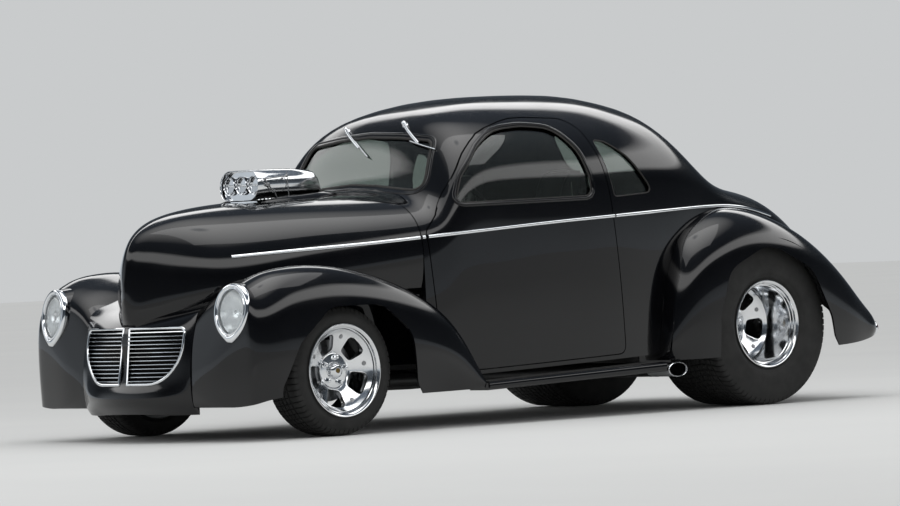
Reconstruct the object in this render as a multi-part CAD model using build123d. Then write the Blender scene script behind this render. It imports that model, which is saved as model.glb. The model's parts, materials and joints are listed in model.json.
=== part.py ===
"""A 1940s American coupe rebuilt as a fendered street hot rod, in millimetres.

X runs forward, Y to the car's left and Z up. The origin is on the ground under the middle
of the car. Skins are lofts through cross-sections of lines and arcs, listed in short tables.
"""
from build123d import *
import math
import os

# Driving dimensions
LENGTH = 4180
WHEELBASE = 2591
FRONT_OVERHANG = 660
FRONT_AXLE_X = LENGTH / 2 - FRONT_OVERHANG
REAR_AXLE_X = FRONT_AXLE_X - WHEELBASE

FRONT_TYRE_R = 288
REAR_TYRE_R = 381
FRONT_TYRE_Y = 661
REAR_TYRE_Y = 602
RIM_LIP_R = 206.5
BARREL_R = 190

WALL = 34
SKIN = 12
PANEL_GAP = 5
SEAM = 1
GLASS_INSET = 13
GLASS_THICK = 6
GLASS_PLAY = 0.6

KINGPIN_Y = 600
HOOD_REAR_X = 816
FLOOR_Z = 296

os.makedirs("parts", exist_ok=True)
nodes = {}


# Shared shape helpers
def arc_chain(points):
    """Edges through points read as start, middle, end, middle, end and so on."""
    return [
        Edge.make_three_point_arc(points[i], points[i + 1], points[i + 2])
        for i in range(0, len(points) - 2, 2)
    ]


def line_chain(points):
    return [Edge.make_line(a, b) for a, b in zip(points, points[1:])]


def loft_solid(rings, ruled=True):
    return Solid.make_loft([Wire(ring) for ring in rings], ruled)


def super_point(width, height, power, degrees):
    """A point of a quarter superellipse, 0 degrees at the side and 90 at the top."""
    angle = math.radians(degrees)
    return (width * math.cos(angle) ** (2 / power), height * math.sin(angle) ** (2 / power))


def rounded_face(corners, plane):
    """A face on a plane over corners given as (u, v, radius)."""
    points = [(u, v) for u, v, radius in corners]
    face = Face(Wire(line_chain(points + points[:1])))
    for u, v, radius in corners:
        near = min(face.vertices(), key=lambda p: math.hypot(p.X - u, p.Y - v))
        if radius:
            face = face.fillet_2d(radius, [near])
    return plane.from_local_coords(face)


def prism(corners, plane, depth, grow=0.0):
    """A prism over rounded corners, from a plane along its normal, grown by grow."""
    face = rounded_face(corners, plane)
    if grow:
        face = Face(face.outer_wire().offset_2d(grow))
    return Solid.extrude(face, plane.z_dir * depth)


def left_prism(corners, grow=0.0, y_from=250, y_to=950):
    flipped = [(-x, z, radius) for x, z, radius in corners]
    plane = Plane(origin=(0, y_from, 0), x_dir=(-1, 0, 0), z_dir=(0, 1, 0))
    return prism(flipped, plane, y_to - y_from, grow)


def front_prism(corners, x_from, x_to, grow=0.0):
    plane = Plane(origin=(x_from, 0, 0), x_dir=(0, 1, 0), z_dir=(1, 0, 0))
    return prism(corners, plane, x_to - x_from, grow)


def box_between(low, high):
    size = [h - l for l, h in zip(low, high)]
    centre = [(l + h) / 2 for l, h in zip(low, high)]
    return Box(*size).moved(Location(tuple(centre)))


def cylinder_between(a, b, radius):
    a, b = Vector(*a), Vector(*b)
    plane = Plane(origin=a, z_dir=b - a)
    return Solid.make_cylinder(radius, (b - a).length, plane)


def tube_x(radius, y, z, x_from, x_to):
    return cylinder_between((x_from, y, z), (x_to, y, z), radius)


def tube_y(radius, x, z, y_from, y_to):
    return cylinder_between((x, y_from, z), (x, y_to, z), radius)


def mirrored(shape):
    return shape.mirror(Plane.XZ)


def solids_of(*shapes):
    return Compound(children=[s for shape in shapes for s in shape.solids()])


def both_sides(shape):
    return solids_of(shape, mirrored(shape))


def cut(shape, *tools):
    for tool in tools:
        shape = shape - tool
    return shape


# Cabin and tail skin, from the cowl to the tail
# x, sill height, sill half width, belt height, belt half width, crown height, fullness
BODY_SECTIONS = (
    (811, 214, 604, 740, 622, 1066, 3.0),
    (700, 220, 622, 800, 640, 1098, 2.85),
    (620, 224, 634, 850, 656, 1234, 2.8),
    (530, 228, 648, 870, 672, 1372, 2.85),
    (380, 234, 668, 885, 692, 1450, 2.7),
    (170, 242, 688, 898, 714, 1490, 2.5),
    (-40, 250, 701, 908, 727, 1503, 2.4),
    (-260, 258, 706, 918, 732, 1505, 2.35),
    (-480, 266, 696, 927, 718, 1496, 2.3),
    (-640, 270, 679, 933, 701, 1470, 2.28),
    (-770, 272, 657, 935, 683, 1430, 2.27),
    (-900, 276, 632, 935, 660, 1330, 2.25),
    (-1060, 280, 600, 925, 628, 1158, 2.27),
    (-1240, 284, 562, 900, 588, 1068, 2.35),
    (-1500, 290, 500, 820, 526, 1018, 2.35),
    (-1750, 300, 420, 700, 446, 902, 2.27),
    (-1930, 318, 340, 580, 362, 780, 2.17),
    (-2040, 345, 240, 500, 262, 660, 2.07),
    (-2090, 390, 130, 470, 146, 560, 2.0),
)
SIDE_BULGE = 10


def body_ring(section, inset, drop):
    x, z_sill, w_sill, z_belt, w_belt, z_crown, power = section
    w_sill, w_belt, z_crown = w_sill - inset, w_belt - inset, z_crown - inset
    side = [
        (w_sill, z_sill - drop),
        ((w_sill + w_belt) / 2 + SIDE_BULGE, (z_sill - drop + z_belt) / 2),
        (w_belt, z_belt),
    ]
    for degrees in (12, 24, 34, 44):
        y, z = super_point(w_belt, z_crown - z_belt, power, degrees)
        side.append((y, z_belt + z))
    full = side + [(0, z_crown)] + [(-y, z) for y, z in side[::-1]]
    points = [(x, y, z) for y, z in full]
    return arc_chain(points) + line_chain([points[-1], points[0]])


def body_solid(inset=0.0, drop=0.0, shorter=0.0):
    """The cabin and tail as one solid; an inset one runs past the cowl and stops short aft."""
    rows = [list(row) for row in BODY_SECTIONS]
    if shorter:
        rows[0][0] += shorter
        rows[-1][0] += shorter
    return loft_solid([body_ring(row, inset, drop) for row in rows], ruled=False)


# Hood skin, from the prow to the cowl
# x, lower edge height, lower half width, side height, side half width, crown height, fullness
HOOD_SECTIONS = (
    (2038, 618, 6, 650, 10, 708, 1.8),
    (2028, 548, 26, 610, 36, 786, 1.75),
    (2010, 512, 56, 600, 70, 845, 1.75),
    (1975, 534, 112, 615, 122, 900, 1.8),
    (1900, 578, 212, 635, 222, 955, 1.95),
    (1790, 606, 318, 655, 330, 998, 2.1),
    (1600, 620, 412, 670, 424, 1034, 2.25),
    (1380, 622, 478, 690, 490, 1052, 2.45),
    (1100, 626, 552, 715, 566, 1062, 2.7),
    (HOOD_REAR_X, 632, 604, 740, 621, 1066, 3.0),
)


def hood_ring(section, inset, drop):
    x, z_low, w_low, z_side, w_side, z_crown, power = section
    w_low, w_side, z_crown = w_low - inset, w_side - inset, z_crown - inset
    side = [
        (w_low, z_low - drop),
        ((w_low + w_side) / 2 + 2, (z_low - drop + z_side) / 2),
        (w_side, z_side),
    ]
    for degrees in (18, 36, 52, 68):
        y, z = super_point(w_side, z_crown - z_side, power, degrees)
        side.append((y, z_side + z))
    full = side + [(0, z_crown)] + [(-y, z) for y, z in side[::-1]]
    points = [(x, y, z) for y, z in full]
    return arc_chain(points) + line_chain([points[-1], points[0]])


def hood_solid(inset=0.0, drop=0.0, prow=0.0, rear=0.0):
    rows = [list(row) for row in HOOD_SECTIONS]
    if inset > 0:
        rows = rows[2:]
    rows[0][0] += prow
    rows[-1][0] -= rear
    return loft_solid([hood_ring(row, inset, drop) for row in rows])


# Nose panel below the hood, as plan sections
# height, foremost x on the centre line, x at the side
NOSE_SECTIONS = (
    (148, 2046, 1960),
    (196, 2090, 1986),
    (258, 2066, 1990),
    (400, 2046, 1977),
    (500, 2031, 1955),
    (543, 1985, 1943),
    (582, 1880, 1915),
    (616, 1760, 1830),
    (650, 1600, 1700),
)
NOSE_HALF_WIDTH = 385
NOSE_BACK_X = 1560


def nose_solid(inset=0.0, deeper=0.0):
    rings = []
    for z, x_front, x_side in NOSE_SECTIONS:
        if z == NOSE_SECTIONS[0][0]:
            z -= deeper
        w = NOSE_HALF_WIDTH - inset
        front = [(x_side - inset, -w, z), (x_front - inset, 0, z), (x_side - inset, w, z)]
        back = [(x_side - inset, w, z), (NOSE_BACK_X - deeper, w, z)]
        back += [(NOSE_BACK_X - deeper, -w, z), (x_side - inset, -w, z)]
        rings.append(arc_chain(front) + line_chain(back))
    return loft_solid(rings)


# Left front fender, from the headlight to the running board
# x, inner y, inner height, crest y, crest height, outer y, outer height, bottom height
FRONT_FENDER_SECTIONS = (
    (1962, 386, 440, 600, 470, 690, 400, 270),
    (1954, 386, 500, 625, 565, 745, 400, 206),
    (1934, 386, 545, 640, 640, 786, 400, 182),
    (1900, 386, 575, 645, 678, 812, 400, 172),
    (1855, 386, 596, 648, 706, 828, 400, 168),
    (1790, 386, 612, 655, 733, 837, 400, 166),
    (1710, 386, 622, 662, 749, 840, 400, 165),
    (1568, 400, 618, 672, 757, 842, 400, 165),
    (1315, 460, 616, 685, 728, 842, 400, 165),
    (1092, 520, 612, 695, 664, 838, 370, 165),
    (900, 545, 545, 705, 572, 826, 330, 166),
    (780, 550, 462, 715, 475, 812, 290, 167),
    (690, 560, 345, 720, 352, 800, 235, 168),
    (622, 580, 222, 725, 225, 792, 190, 169),
)
ARCH_FULLNESS = 2.35
FLANK_FULLNESS = 1.35


def fender_ring(x, profile, further_in):
    """Close a fender profile along its underside and its inner side."""
    points = [(x, y, z) for y, z in profile]
    (y_in, z_in), z_low = profile[0], profile[-1][1]
    closing = [points[-1], (x, y_in - further_in, z_low)]
    if further_in:
        closing.append((x, y_in - further_in, z_in))
    return arc_chain(points) + line_chain(closing + [points[0]])


def front_fender_ring(section, inset, drop):
    x, y_in, z_in, y_crest, z_crest, y_out, z_out, z_low = section
    y_out, z_crest, z_in, z_low = y_out - inset, z_crest - inset, z_in - inset, z_low - drop
    z_out = min(z_out, z_crest - 8)
    inner = super_point(y_crest - y_in, z_crest - z_in, FLANK_FULLNESS, 45)
    outer = super_point(y_out - y_crest, z_crest - z_out, ARCH_FULLNESS, 45)
    profile = [
        (y_in, z_in),
        (y_crest - inner[0], z_in + inner[1]),
        (y_crest, z_crest),
        (y_crest + outer[0], z_out + outer[1]),
        (y_out, z_out),
        (y_out - 2, (z_out + z_low) / 2),
        (y_out - 10, z_low),
    ]
    return fender_ring(x, profile, drop)


def front_fender_solid(inset=0.0, drop=0.0):
    rows = [list(row) for row in FRONT_FENDER_SECTIONS]
    if inset:
        rows = rows[1:]
        rows[0][0] -= inset
        rows[-1][0] -= drop
    return loft_solid([front_fender_ring(row, inset, drop) for row in rows])


# Left rear fender, from its leading edge to the tail
# x, inner y, top height, outer y, outer height, bottom height
REAR_FENDER_SECTIONS = (
    (-558, 600, 352, 740, 300, 238),
    (-572, 600, 500, 775, 340, 238),
    (-605, 600, 640, 812, 400, 238),
    (-680, 600, 790, 850, 480, 238),
    (-800, 590, 878, 868, 540, 240),
    (-966, 575, 932, 876, 580, 240),
    (-1161, 550, 930, 878, 580, 250),
    (-1360, 500, 880, 874, 545, 256),
    (-1540, 440, 797, 860, 475, 258),
    (-1706, 400, 662, 838, 400, 258),
    (-1830, 410, 518, 808, 352, 262),
    (-1890, 470, 437, 788, 336, 268),
    (-1925, 560, 372, 760, 322, 284),
)


def rear_fender_ring(section, inset, drop):
    x, y_in, z_top, y_out, z_out, z_low = section
    y_out, z_top, z_low = y_out - inset, z_top - inset, z_low - drop
    z_out = min(z_out, z_top - 8)
    middle = super_point(y_out - y_in, z_top - z_out, 2.6, 45)
    profile = [
        (y_in, z_top),
        (y_in + middle[0], z_out + middle[1]),
        (y_out, z_out),
        (y_out - 2, (z_out + z_low) / 2),
        (y_out - 12, z_low),
    ]
    return fender_ring(x, profile, drop)


def rear_fender_solid(inset=0.0, drop=0.0):
    rows = [list(row) for row in REAR_FENDER_SECTIONS]
    if inset:
        rows[0][0] -= inset
        rows[-1][0] += inset
    return loft_solid([rear_fender_ring(row, inset, drop) for row in rows])


# Openings, seen from the side as (x, z, corner radius)
DOOR_OUTLINE = (
    (786, 878, 50),
    (748, 455, 25),
    (640, 378, 60),
    (545, 250, 50),
    (-322, 284, 40),
    (-224, 1195, 300),
    (-190, 1374, 115),
    (150, 1388, 500),
    (400, 1322, 350),
    (520, 1228, 250),
    (640, 1058, 150),
    (712, 950, 60),
)
DOOR_WINDOW = (
    (628, 1001, 32),
    (572, 1125, 200),
    (440, 1262, 300),
    (300, 1337, 300),
    (125, 1352, 400),
    (-40, 1336, 130),
    (-118, 1230, 150),
    (-142, 1110, 100),
    (-140, 1012, 70),
)
QUARTER_WINDOW = (
    (-272, 1003, 25),
    (-545, 1019, 35),
    (-420, 1200, 250),
    (-310, 1268, 100),
    (-236, 1276, 22),
)
# Front and rear glass, seen from the front as (y, z, corner radius)
WINDSCREEN = (
    (-480, 1064, 55),
    (0, 1118, 1600),
    (480, 1064, 55),
    (425, 1296, 60),
    (0, 1338, 2400),
    (-425, 1296, 60),
)
REAR_WINDOW = ((-400, 1130, 70), (400, 1130, 70), (330, 1345, 90), (-330, 1345, 90))
# Trunk lid, seen from above as (x, y, corner radius)
LID_OUTLINE = ((-1230, -395, 70), (-1230, 395, 70), (-1984, 235, 80), (-1984, -235, 80))

outer_body = body_solid()
grown_body = body_solid(-SEAM, SEAM)
inner_body = body_solid(WALL, 60, WALL)
body_wall = outer_body - inner_body

door_cutter = left_prism(DOOR_OUTLINE)
door_hole = left_prism(DOOR_OUTLINE, PANEL_GAP)
door_window = left_prism(DOOR_WINDOW)
quarter_window = left_prism(QUARTER_WINDOW)
lid_plane = Plane(origin=(0, 0, 480))
lid_cutter = prism(LID_OUTLINE, lid_plane, 800)
lid_hole = prism(LID_OUTLINE, lid_plane, 800, PANEL_GAP)
windscreen_cutter = front_prism(WINDSCREEN, 430, 900)
rear_window_cutter = front_prism(REAR_WINDOW, -1250, -700)

# Wheel arch through the body side, hidden behind the rear fender
TUB_R = REAR_TYRE_R + 24
TUB_INNER_Y = 372
arch_hole = tube_y(TUB_R + SEAM, REAR_AXLE_X, REAR_TYRE_R, TUB_INNER_Y - 14, 900)
arch_hole += box_between(
    (REAR_AXLE_X - TUB_R - SEAM, TUB_INNER_Y - 14, 100),
    (REAR_AXLE_X + TUB_R + SEAM, 900, REAR_TYRE_R),
)

shell = cut(
    body_wall,
    door_hole,
    mirrored(door_hole),
    quarter_window,
    mirrored(quarter_window),
    lid_hole,
    windscreen_cutter,
    rear_window_cutter,
    arch_hole,
    mirrored(arch_hole),
)
# The shell is welded from a cowl with the door frames, a roof panel and the rear body
ROOF_SEAM_Z = 1392
QUARTER_SEAM_X = -360
seams = box_between((QUARTER_SEAM_X - SEAM, -900, 100), (QUARTER_SEAM_X, 900, 1600))
seams += box_between((QUARTER_SEAM_X, -900, ROOF_SEAM_Z), (900, 900, ROOF_SEAM_Z + SEAM))
nodes["cabin_shell"] = solids_of(shell - seams)
door = (body_wall & door_cutter) - door_window
nodes["door_left"] = door
nodes["door_right"] = mirrored(door)
nodes["trunk_lid"] = body_wall & lid_cutter

# Glass, a curved sheet set in from the skin
glass_sheet = body_solid(GLASS_INSET, 10, 5) - body_solid(GLASS_INSET + GLASS_THICK, 60, 20)
door_glass = glass_sheet & left_prism(DOOR_WINDOW, -GLASS_PLAY)
nodes["door_glass_left"] = door_glass
nodes["door_glass_right"] = mirrored(door_glass)
nodes["fixed_glass"] = solids_of(
    glass_sheet & front_prism(WINDSCREEN, 430, 900, -GLASS_PLAY),
    glass_sheet & front_prism(REAR_WINDOW, -1250, -700, -GLASS_PLAY),
    both_sides(glass_sheet & left_prism(QUARTER_WINDOW, -GLASS_PLAY)),
)

# Injector scoop: x, half width, low height, high height, from the mouth to the tail
SCOOP_SECTIONS = (
    (1372, 143, 1052, 1178),
    (1290, 143, 1054, 1186),
    (1130, 138, 1056, 1191),
    (1010, 126, 1058, 1184),
    (985, 116, 1060, 1170),
    (955, 98, 1064, 1108),
)
SCOOP_WALL = 6
SCOOP_RAKE = 24
SCOOP_OVAL = (
    (-1, 0),
    (-0.72, 0.78),
    (0, 1),
    (0.72, 0.78),
    (1, 0),
    (0.72, -0.78),
    (0, -1),
    (-0.72, -0.78),
)
BLOWER = ((960, -105, 900), (1400, 105, 1052))
BUTTERFLY_X = 1292
BUTTERFLY_Z = 1118
BUTTERFLY_R = 40
BUTTERFLY_PITCH = 90


def scoop_solid(inset=0.0, mouth=0.0):
    """A flat oval duct whose mouth leans back at the top."""
    rings = []
    for number, (x, half, low, high) in enumerate(SCOOP_SECTIONS):
        lean = SCOOP_RAKE if number == 0 else 0
        middle, rise, side = (low + high) / 2, (high - low) / 2 - inset, half - inset
        profile = SCOOP_OVAL + SCOOP_OVAL[:1]
        points = [(x + mouth - lean * v, side * u, middle + rise * v) for u, v in profile]
        rings.append(arc_chain(points))
        mouth = 0.0
    return loft_solid(rings)


DUCT_BACK_X = 1240
BUTTERFLY_STEM_R = 6
duct = scoop_solid(SCOOP_WALL, 4) & box_between((DUCT_BACK_X, -200, 1000), (1500, 200, 1300))
scoop = (scoop_solid() - duct) + box_between(*BLOWER)
for y in (-BUTTERFLY_PITCH, 0, BUTTERFLY_PITCH):
    scoop += tube_x(BUTTERFLY_R, y, BUTTERFLY_Z, BUTTERFLY_X, BUTTERFLY_X + 8)
    scoop += tube_x(BUTTERFLY_STEM_R, y, BUTTERFLY_Z, DUCT_BACK_X - 4, BUTTERFLY_X + 4)
nodes["injector_scoop"] = scoop

# Raised blister round the scoop: x, half width, top height; it is open at the rear
BLISTER_SECTIONS = (
    (1425, 160, 1046),
    (1300, 178, 1072),
    (1100, 174, 1086),
    (985, 160, 1092),
    (882, 138, 1088),
)
BLISTER_BASE_Z = 985
BLISTER_FULLNESS = 4.5


def blister_solid(inset=0.0, further_back=0.0):
    rings = []
    for x, half, top in BLISTER_SECTIONS:
        if x == BLISTER_SECTIONS[-1][0]:
            x -= further_back
        rise = top - inset - BLISTER_BASE_Z
        side = [super_point(half - inset, rise, BLISTER_FULLNESS, a) for a in (0, 18, 36, 60)]
        full = side + [(0, rise)] + [(-y, z) for y, z in side[::-1]]
        points = [(x, y, BLISTER_BASE_Z + z) for y, z in full]
        rings.append(arc_chain(points) + line_chain([points[-1], points[0]]))
    return loft_solid(rings)


# Hood with its blister and its hole for the scoop
SCOOP_HOLE = (
    (926, -112, 20),
    (926, 112, 20),
    (1010, 134, 0),
    (1130, 145, 0),
    (1436, 160, 60),
    (1436, -160, 60),
    (1130, -145, 0),
    (1010, -134, 0),
)
outer_hood = hood_solid()
grown_hood = hood_solid(-PANEL_GAP, PANEL_GAP, PANEL_GAP, PANEL_GAP)
hood_hole = prism(SCOOP_HOLE, Plane(origin=(0, 0, 900)), 400)
nodes["hood"] = cut(
    outer_hood + blister_solid(), hood_hole, hood_solid(SKIN, 60, -2, 20), blister_solid(8, 1)
)

# Front fenders
ARCH_FRONT = (
    (FRONT_AXLE_X + 398, 60, 0),
    (FRONT_AXLE_X + 398, 230, 60),
    (FRONT_AXLE_X + 300, 420, 150),
    (FRONT_AXLE_X + 110, 572, 130),
    (FRONT_AXLE_X - 190, 572, 150),
    (FRONT_AXLE_X - 350, 440, 130),
    (FRONT_AXLE_X - 384, 60, 0),
)
LAMP_CENTRE = (1946, 640, 562)
LAMP_OUTLINE = (
    (-105, 14),
    (-76, 98),
    (0, 132),
    (76, 98),
    (105, 14),
    (78, -72),
    (14, -130),
)


def lamp_plane():
    """Local u points left, v up; the lamp looks ahead, a little outward and up."""
    return Plane(origin=LAMP_CENTRE, x_dir=(-0.14, 1, 0), z_dir=(1, 0.14, 0.09))


def lamp_prism(grow, back, front):
    plane = lamp_plane()
    half = list(LAMP_OUTLINE)
    half += [(-14, -130)]
    closing = [half[-1], (-78, -72), half[0]]
    face = Face(Wire(arc_chain(half[:7]) + line_chain([half[6], half[7]]) + arc_chain(closing)))
    if grow:
        face = Face(face.outer_wire().offset_2d(grow))
    face = plane.from_local_coords(face)
    return Solid.extrude(face, plane.z_dir * (front - back)).moved(
        Location(plane.z_dir * back)
    )


def lamp_cylinder(radius, back, front, up=20):
    plane = lamp_plane()
    start = plane.from_local_coords(Vector(0, up, back))
    end = plane.from_local_coords(Vector(0, up, front))
    return cylinder_between(start, end, radius)


# Inner apron beside the engine bay, as a plan path with its top height; the wheel steers clear
APRON_PATH = ((1850, 388), (1560, 404), (1330, 424), (1140, 424), (1040, 515), (822, 582))
APRON_THICK = 8
APRON_LOW_Z = 290
APRON_HIGH_Z = 609
APRON_REAR_HIGH_Z = 625
APRON_STEP_X = 1000
AXLE_GAP_HALF = 70
AXLE_GAP_HIGH_Z = 575
apron_plan = [(x, y, APRON_LOW_Z) for x, y in APRON_PATH]
apron_plan += [(x, y + APRON_THICK, APRON_LOW_Z) for x, y in APRON_PATH[::-1]]
apron_face = Face(Wire(line_chain(apron_plan + apron_plan[:1])))
apron = Solid.extrude(apron_face, Vector(0, 0, APRON_REAR_HIGH_Z - APRON_LOW_Z))
apron -= box_between((APRON_STEP_X, 300, APRON_HIGH_Z), (2000, 600, 700))
apron -= box_between(
    (FRONT_AXLE_X - AXLE_GAP_HALF, 300, 100), (FRONT_AXLE_X + AXLE_GAP_HALF, 500, AXLE_GAP_HIGH_Z)
)

front_fender = cut(
    front_fender_solid(),
    left_prism(ARCH_FRONT, 0, 557, 1000),
    grown_hood,
    grown_body,
    nose_solid(-SEAM, 10),
    lamp_prism(SEAM, -90, 60),
    front_fender_solid(SKIN, 60),
)
front_fender += apron - grown_hood
nodes["front_fender_left"] = front_fender
nodes["front_fender_right"] = mirrored(front_fender)

# Headlights
LENS_R = 78
rim = lamp_prism(0, -50, 14) - lamp_cylinder(LENS_R + SEAM, -200, 60)
nodes["headlight_rims"] = both_sides(rim)
bowl = lamp_cylinder(LENS_R, -86, -16) - lamp_cylinder(LENS_R - 6, -78, 0)
nodes["headlight_bowls"] = both_sides(bowl)
nodes["headlight_lenses"] = both_sides(lamp_cylinder(LENS_R, -15, -9))

# Nose panel and grille
GRILLE_OUTLINE = ((27, 258, 10), (322, 258, 150), (322, 508, 28), (27, 508, 10))
GRILLE_BARS = 13
GRILLE_PITCH = 18
BAR_HEIGHT = 6.5
GRILLE_FRAME = 12
nose_outer = nose_solid()
grille_hole = front_prism(GRILLE_OUTLINE, 1800, 2200)
nodes["nose_panel"] = cut(
    nose_outer - nose_solid(SKIN, 30), grown_hood, grille_hole, mirrored(grille_hole)
)
grille_band = nose_solid(2, 0) - nose_solid(18, 5)
grille_frame = front_prism(GRILLE_OUTLINE, 1800, 2200, -0.5) - front_prism(
    GRILLE_OUTLINE, 1790, 2210, -GRILLE_FRAME
)
bars = [
    box_between((1800, 20, z), (2200, 330, z + BAR_HEIGHT))
    for z in [274 + GRILLE_PITCH * i for i in range(GRILLE_BARS)]
]
grille_cutter = front_prism(GRILLE_OUTLINE, 1800, 2200, -0.5)
grille = grille_band & (grille_frame + (solids_of(*bars) & grille_cutter))
nodes["grille"] = both_sides(grille)
nodes["radiator"] = box_between((1765, -270, 272), (1815, 270, 560))

# Rear fenders
ARCH_REAR = (
    (-786, 60, 0),
    (-790, 430, 60),
    (-860, 648, 150),
    (-1130, 762, 230),
    (-1400, 632, 160),
    (-1530, 400, 120),
    (-1556, 60, 0),
)
rear_fender = cut(
    rear_fender_solid(),
    rear_fender_solid(SKIN, 60),
    left_prism(ARCH_REAR, 0, 700, 1000),
    tube_y(TUB_R, REAR_AXLE_X, REAR_TYRE_R, 300, 840),
    grown_body,
)
nodes["rear_fender_left"] = rear_fender
nodes["rear_fender_right"] = mirrored(rear_fender)

# Tail lamps, domes on the tips of the rear fenders
TAIL_LAMP_R = 36
tail_dome = Solid.make_sphere(TAIL_LAMP_R, Plane((-1908, 738, 326)))
tail_lamp = tail_dome - rear_fender_solid(-0.4, 0.4)
nodes["tail_lamps"] = both_sides(tail_lamp)

# Running boards
BOARD_CORNERS = ((612, 158, 10), (-488, 190, 10), (-488, 234, 10), (612, 196, 10))
board = left_prism(BOARD_CORNERS, 0, 640, 806)
board = board - grown_body - front_fender_solid(0, 8) - rear_fender_solid(0, 8)
nodes["running_boards"] = both_sides(board)

# Floor, firewall and rear wheel tubs
room = body_solid(WALL + SEAM, 60, WALL)
FIREWALL_X = 770
SEAT_BACK_X = -640
TRUNK_FLOOR_Z = 560
FLOOR_THICK = 8
floor_plates = (
    ((SEAT_BACK_X, -800, FLOOR_Z), (FIREWALL_X, 800, FLOOR_Z + FLOOR_THICK)),
    ((FIREWALL_X - FLOOR_THICK, -800, FLOOR_Z), (FIREWALL_X, 800, 1010)),
    ((SEAT_BACK_X - FLOOR_THICK, -800, FLOOR_Z), (SEAT_BACK_X, 800, TRUNK_FLOOR_Z)),
    ((-1960, -800, TRUNK_FLOOR_Z), (SEAT_BACK_X, 800, TRUNK_FLOOR_Z + FLOOR_THICK)),
)
floor_pan = box_between(*floor_plates[0])
for low, high in floor_plates[1:]:
    floor_pan += box_between(low, high)
tub_solid = tube_y(TUB_R, REAR_AXLE_X, REAR_TYRE_R, TUB_INNER_Y - 10, 690)
tub_solid += box_between(
    (REAR_AXLE_X - TUB_R, TUB_INNER_Y - 10, 300), (REAR_AXLE_X + TUB_R, 690, REAR_TYRE_R)
)
tub_hollow = tube_y(TUB_R - 8, REAR_AXLE_X, REAR_TYRE_R, TUB_INNER_Y, 900)
tub_hollow += box_between(
    (REAR_AXLE_X - TUB_R + 8, TUB_INNER_Y, 200), (REAR_AXLE_X + TUB_R - 8, 900, REAR_TYRE_R)
)
floor_pan = floor_pan & room
floor_pan = floor_pan + (tub_solid & room) + (mirrored(tub_solid) & room)
tunnel_hole = box_between((-700, -101, 200), (800, 101, 462))
axle_slot = tube_y(62, REAR_AXLE_X, REAR_TYRE_R, -700, 700)
DOOR_CLEARANCE = 7
door_sweep = left_prism(DOOR_OUTLINE, 12) - body_solid(WALL + DOOR_CLEARANCE, 60, WALL)
nodes["floor_pan"] = cut(
    floor_pan,
    tub_hollow,
    mirrored(tub_hollow),
    tunnel_hole,
    axle_slot,
    door_sweep,
    mirrored(door_sweep),
)

# Chassis: two rails, each welded from four straight lengths, with cross members
RAIL_Y = 330
rail_runs = (
    ((700, 170), (1960, 190)),
    ((-640, 195), (700, 170)),
    ((-900, 446), (-640, 195)),
    ((-1650, 430), (-900, 446)),
)
RAIL_WIDTH, RAIL_HEIGHT = 50, 90
rail_lengths = []
for (x_a, z_a), (x_b, z_b) in rail_runs:
    low_x, high_x = x_a + SEAM / 2, x_b - SEAM / 2
    corners = [(low_x, z_a, 0), (high_x, z_b, 0), (high_x, z_b + RAIL_HEIGHT, 0)]
    corners.append((low_x, z_a + RAIL_HEIGHT, 0))
    length = left_prism(corners, 0, RAIL_Y - RAIL_WIDTH / 2, RAIL_Y + RAIL_WIDTH / 2)
    rail_lengths.append(length)
TIE_DOWN_R = 14
# Tie-down bores: number of the rail length, x
TIE_DOWN_PLACES = ((0, 1770), (3, -1500))
for number, x in TIE_DOWN_PLACES:
    rail_lengths[number] -= cylinder_between((x, RAIL_Y, 100), (x, RAIL_Y, 600), TIE_DOWN_R)
# Cross members: x, lower height
CROSS_MEMBERS = ((1880, 205), (FRONT_AXLE_X, 190), (560, 190), (-560, 200), (-1615, 440))
inner_y = RAIL_Y - RAIL_WIDTH / 2 - SEAM
cross_members = [
    box_between((x - 35, -inner_y, z), (x + 35, inner_y, z + 60)) for x, z in CROSS_MEMBERS
]
other_lengths = [mirrored(length) for length in rail_lengths]
nodes["chassis_frame"] = solids_of(*rail_lengths, *other_lengths, *cross_members)

# Engine and drive line as plain heavy blocks
nodes["engine_block"] = box_between((960, -230, 330), (1500, 230, 900))
nodes["rear_axle"] = (
    cylinder_between((REAR_AXLE_X, -560, REAR_TYRE_R), (REAR_AXLE_X, 560, REAR_TYRE_R), 25)
    + cylinder_between((REAR_AXLE_X, -400, REAR_TYRE_R), (REAR_AXLE_X, 400, REAR_TYRE_R), 42)
    + Solid.make_sphere(120, Plane((REAR_AXLE_X, 0, REAR_TYRE_R)))
)
nodes["transmission_tunnel"] = box_between((-600, -110, FLOOR_Z + 9), (760, 110, 470)) - box_between(
    (-700, -102, 200), (800, 102, 462)
)
nodes["drive_shaft"] = cylinder_between((900, 0, 380), (-1030, 0, 381), 38)

# Front suspension: cross tube, control arms and coil-over units
ARM_ROOT_Y = 360
arm_low = box_between((FRONT_AXLE_X - 22, ARM_ROOT_Y, 186), (FRONT_AXLE_X + 22, 596, 208))
arm_high = box_between((FRONT_AXLE_X - 18, ARM_ROOT_Y, 400), (FRONT_AXLE_X + 18, 596, 418))
coil = cylinder_between((FRONT_AXLE_X, 470, 208), (FRONT_AXLE_X, 425, 540), 34)
tower = box_between((FRONT_AXLE_X - 60, 300, 274), (FRONT_AXLE_X + 60, ARM_ROOT_Y, 560))
brace = box_between((FRONT_AXLE_X - 60, 300, 530), (FRONT_AXLE_X + 60, 458, 560))
nodes["front_suspension"] = both_sides(arm_low + arm_high + coil + tower + brace)

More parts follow.
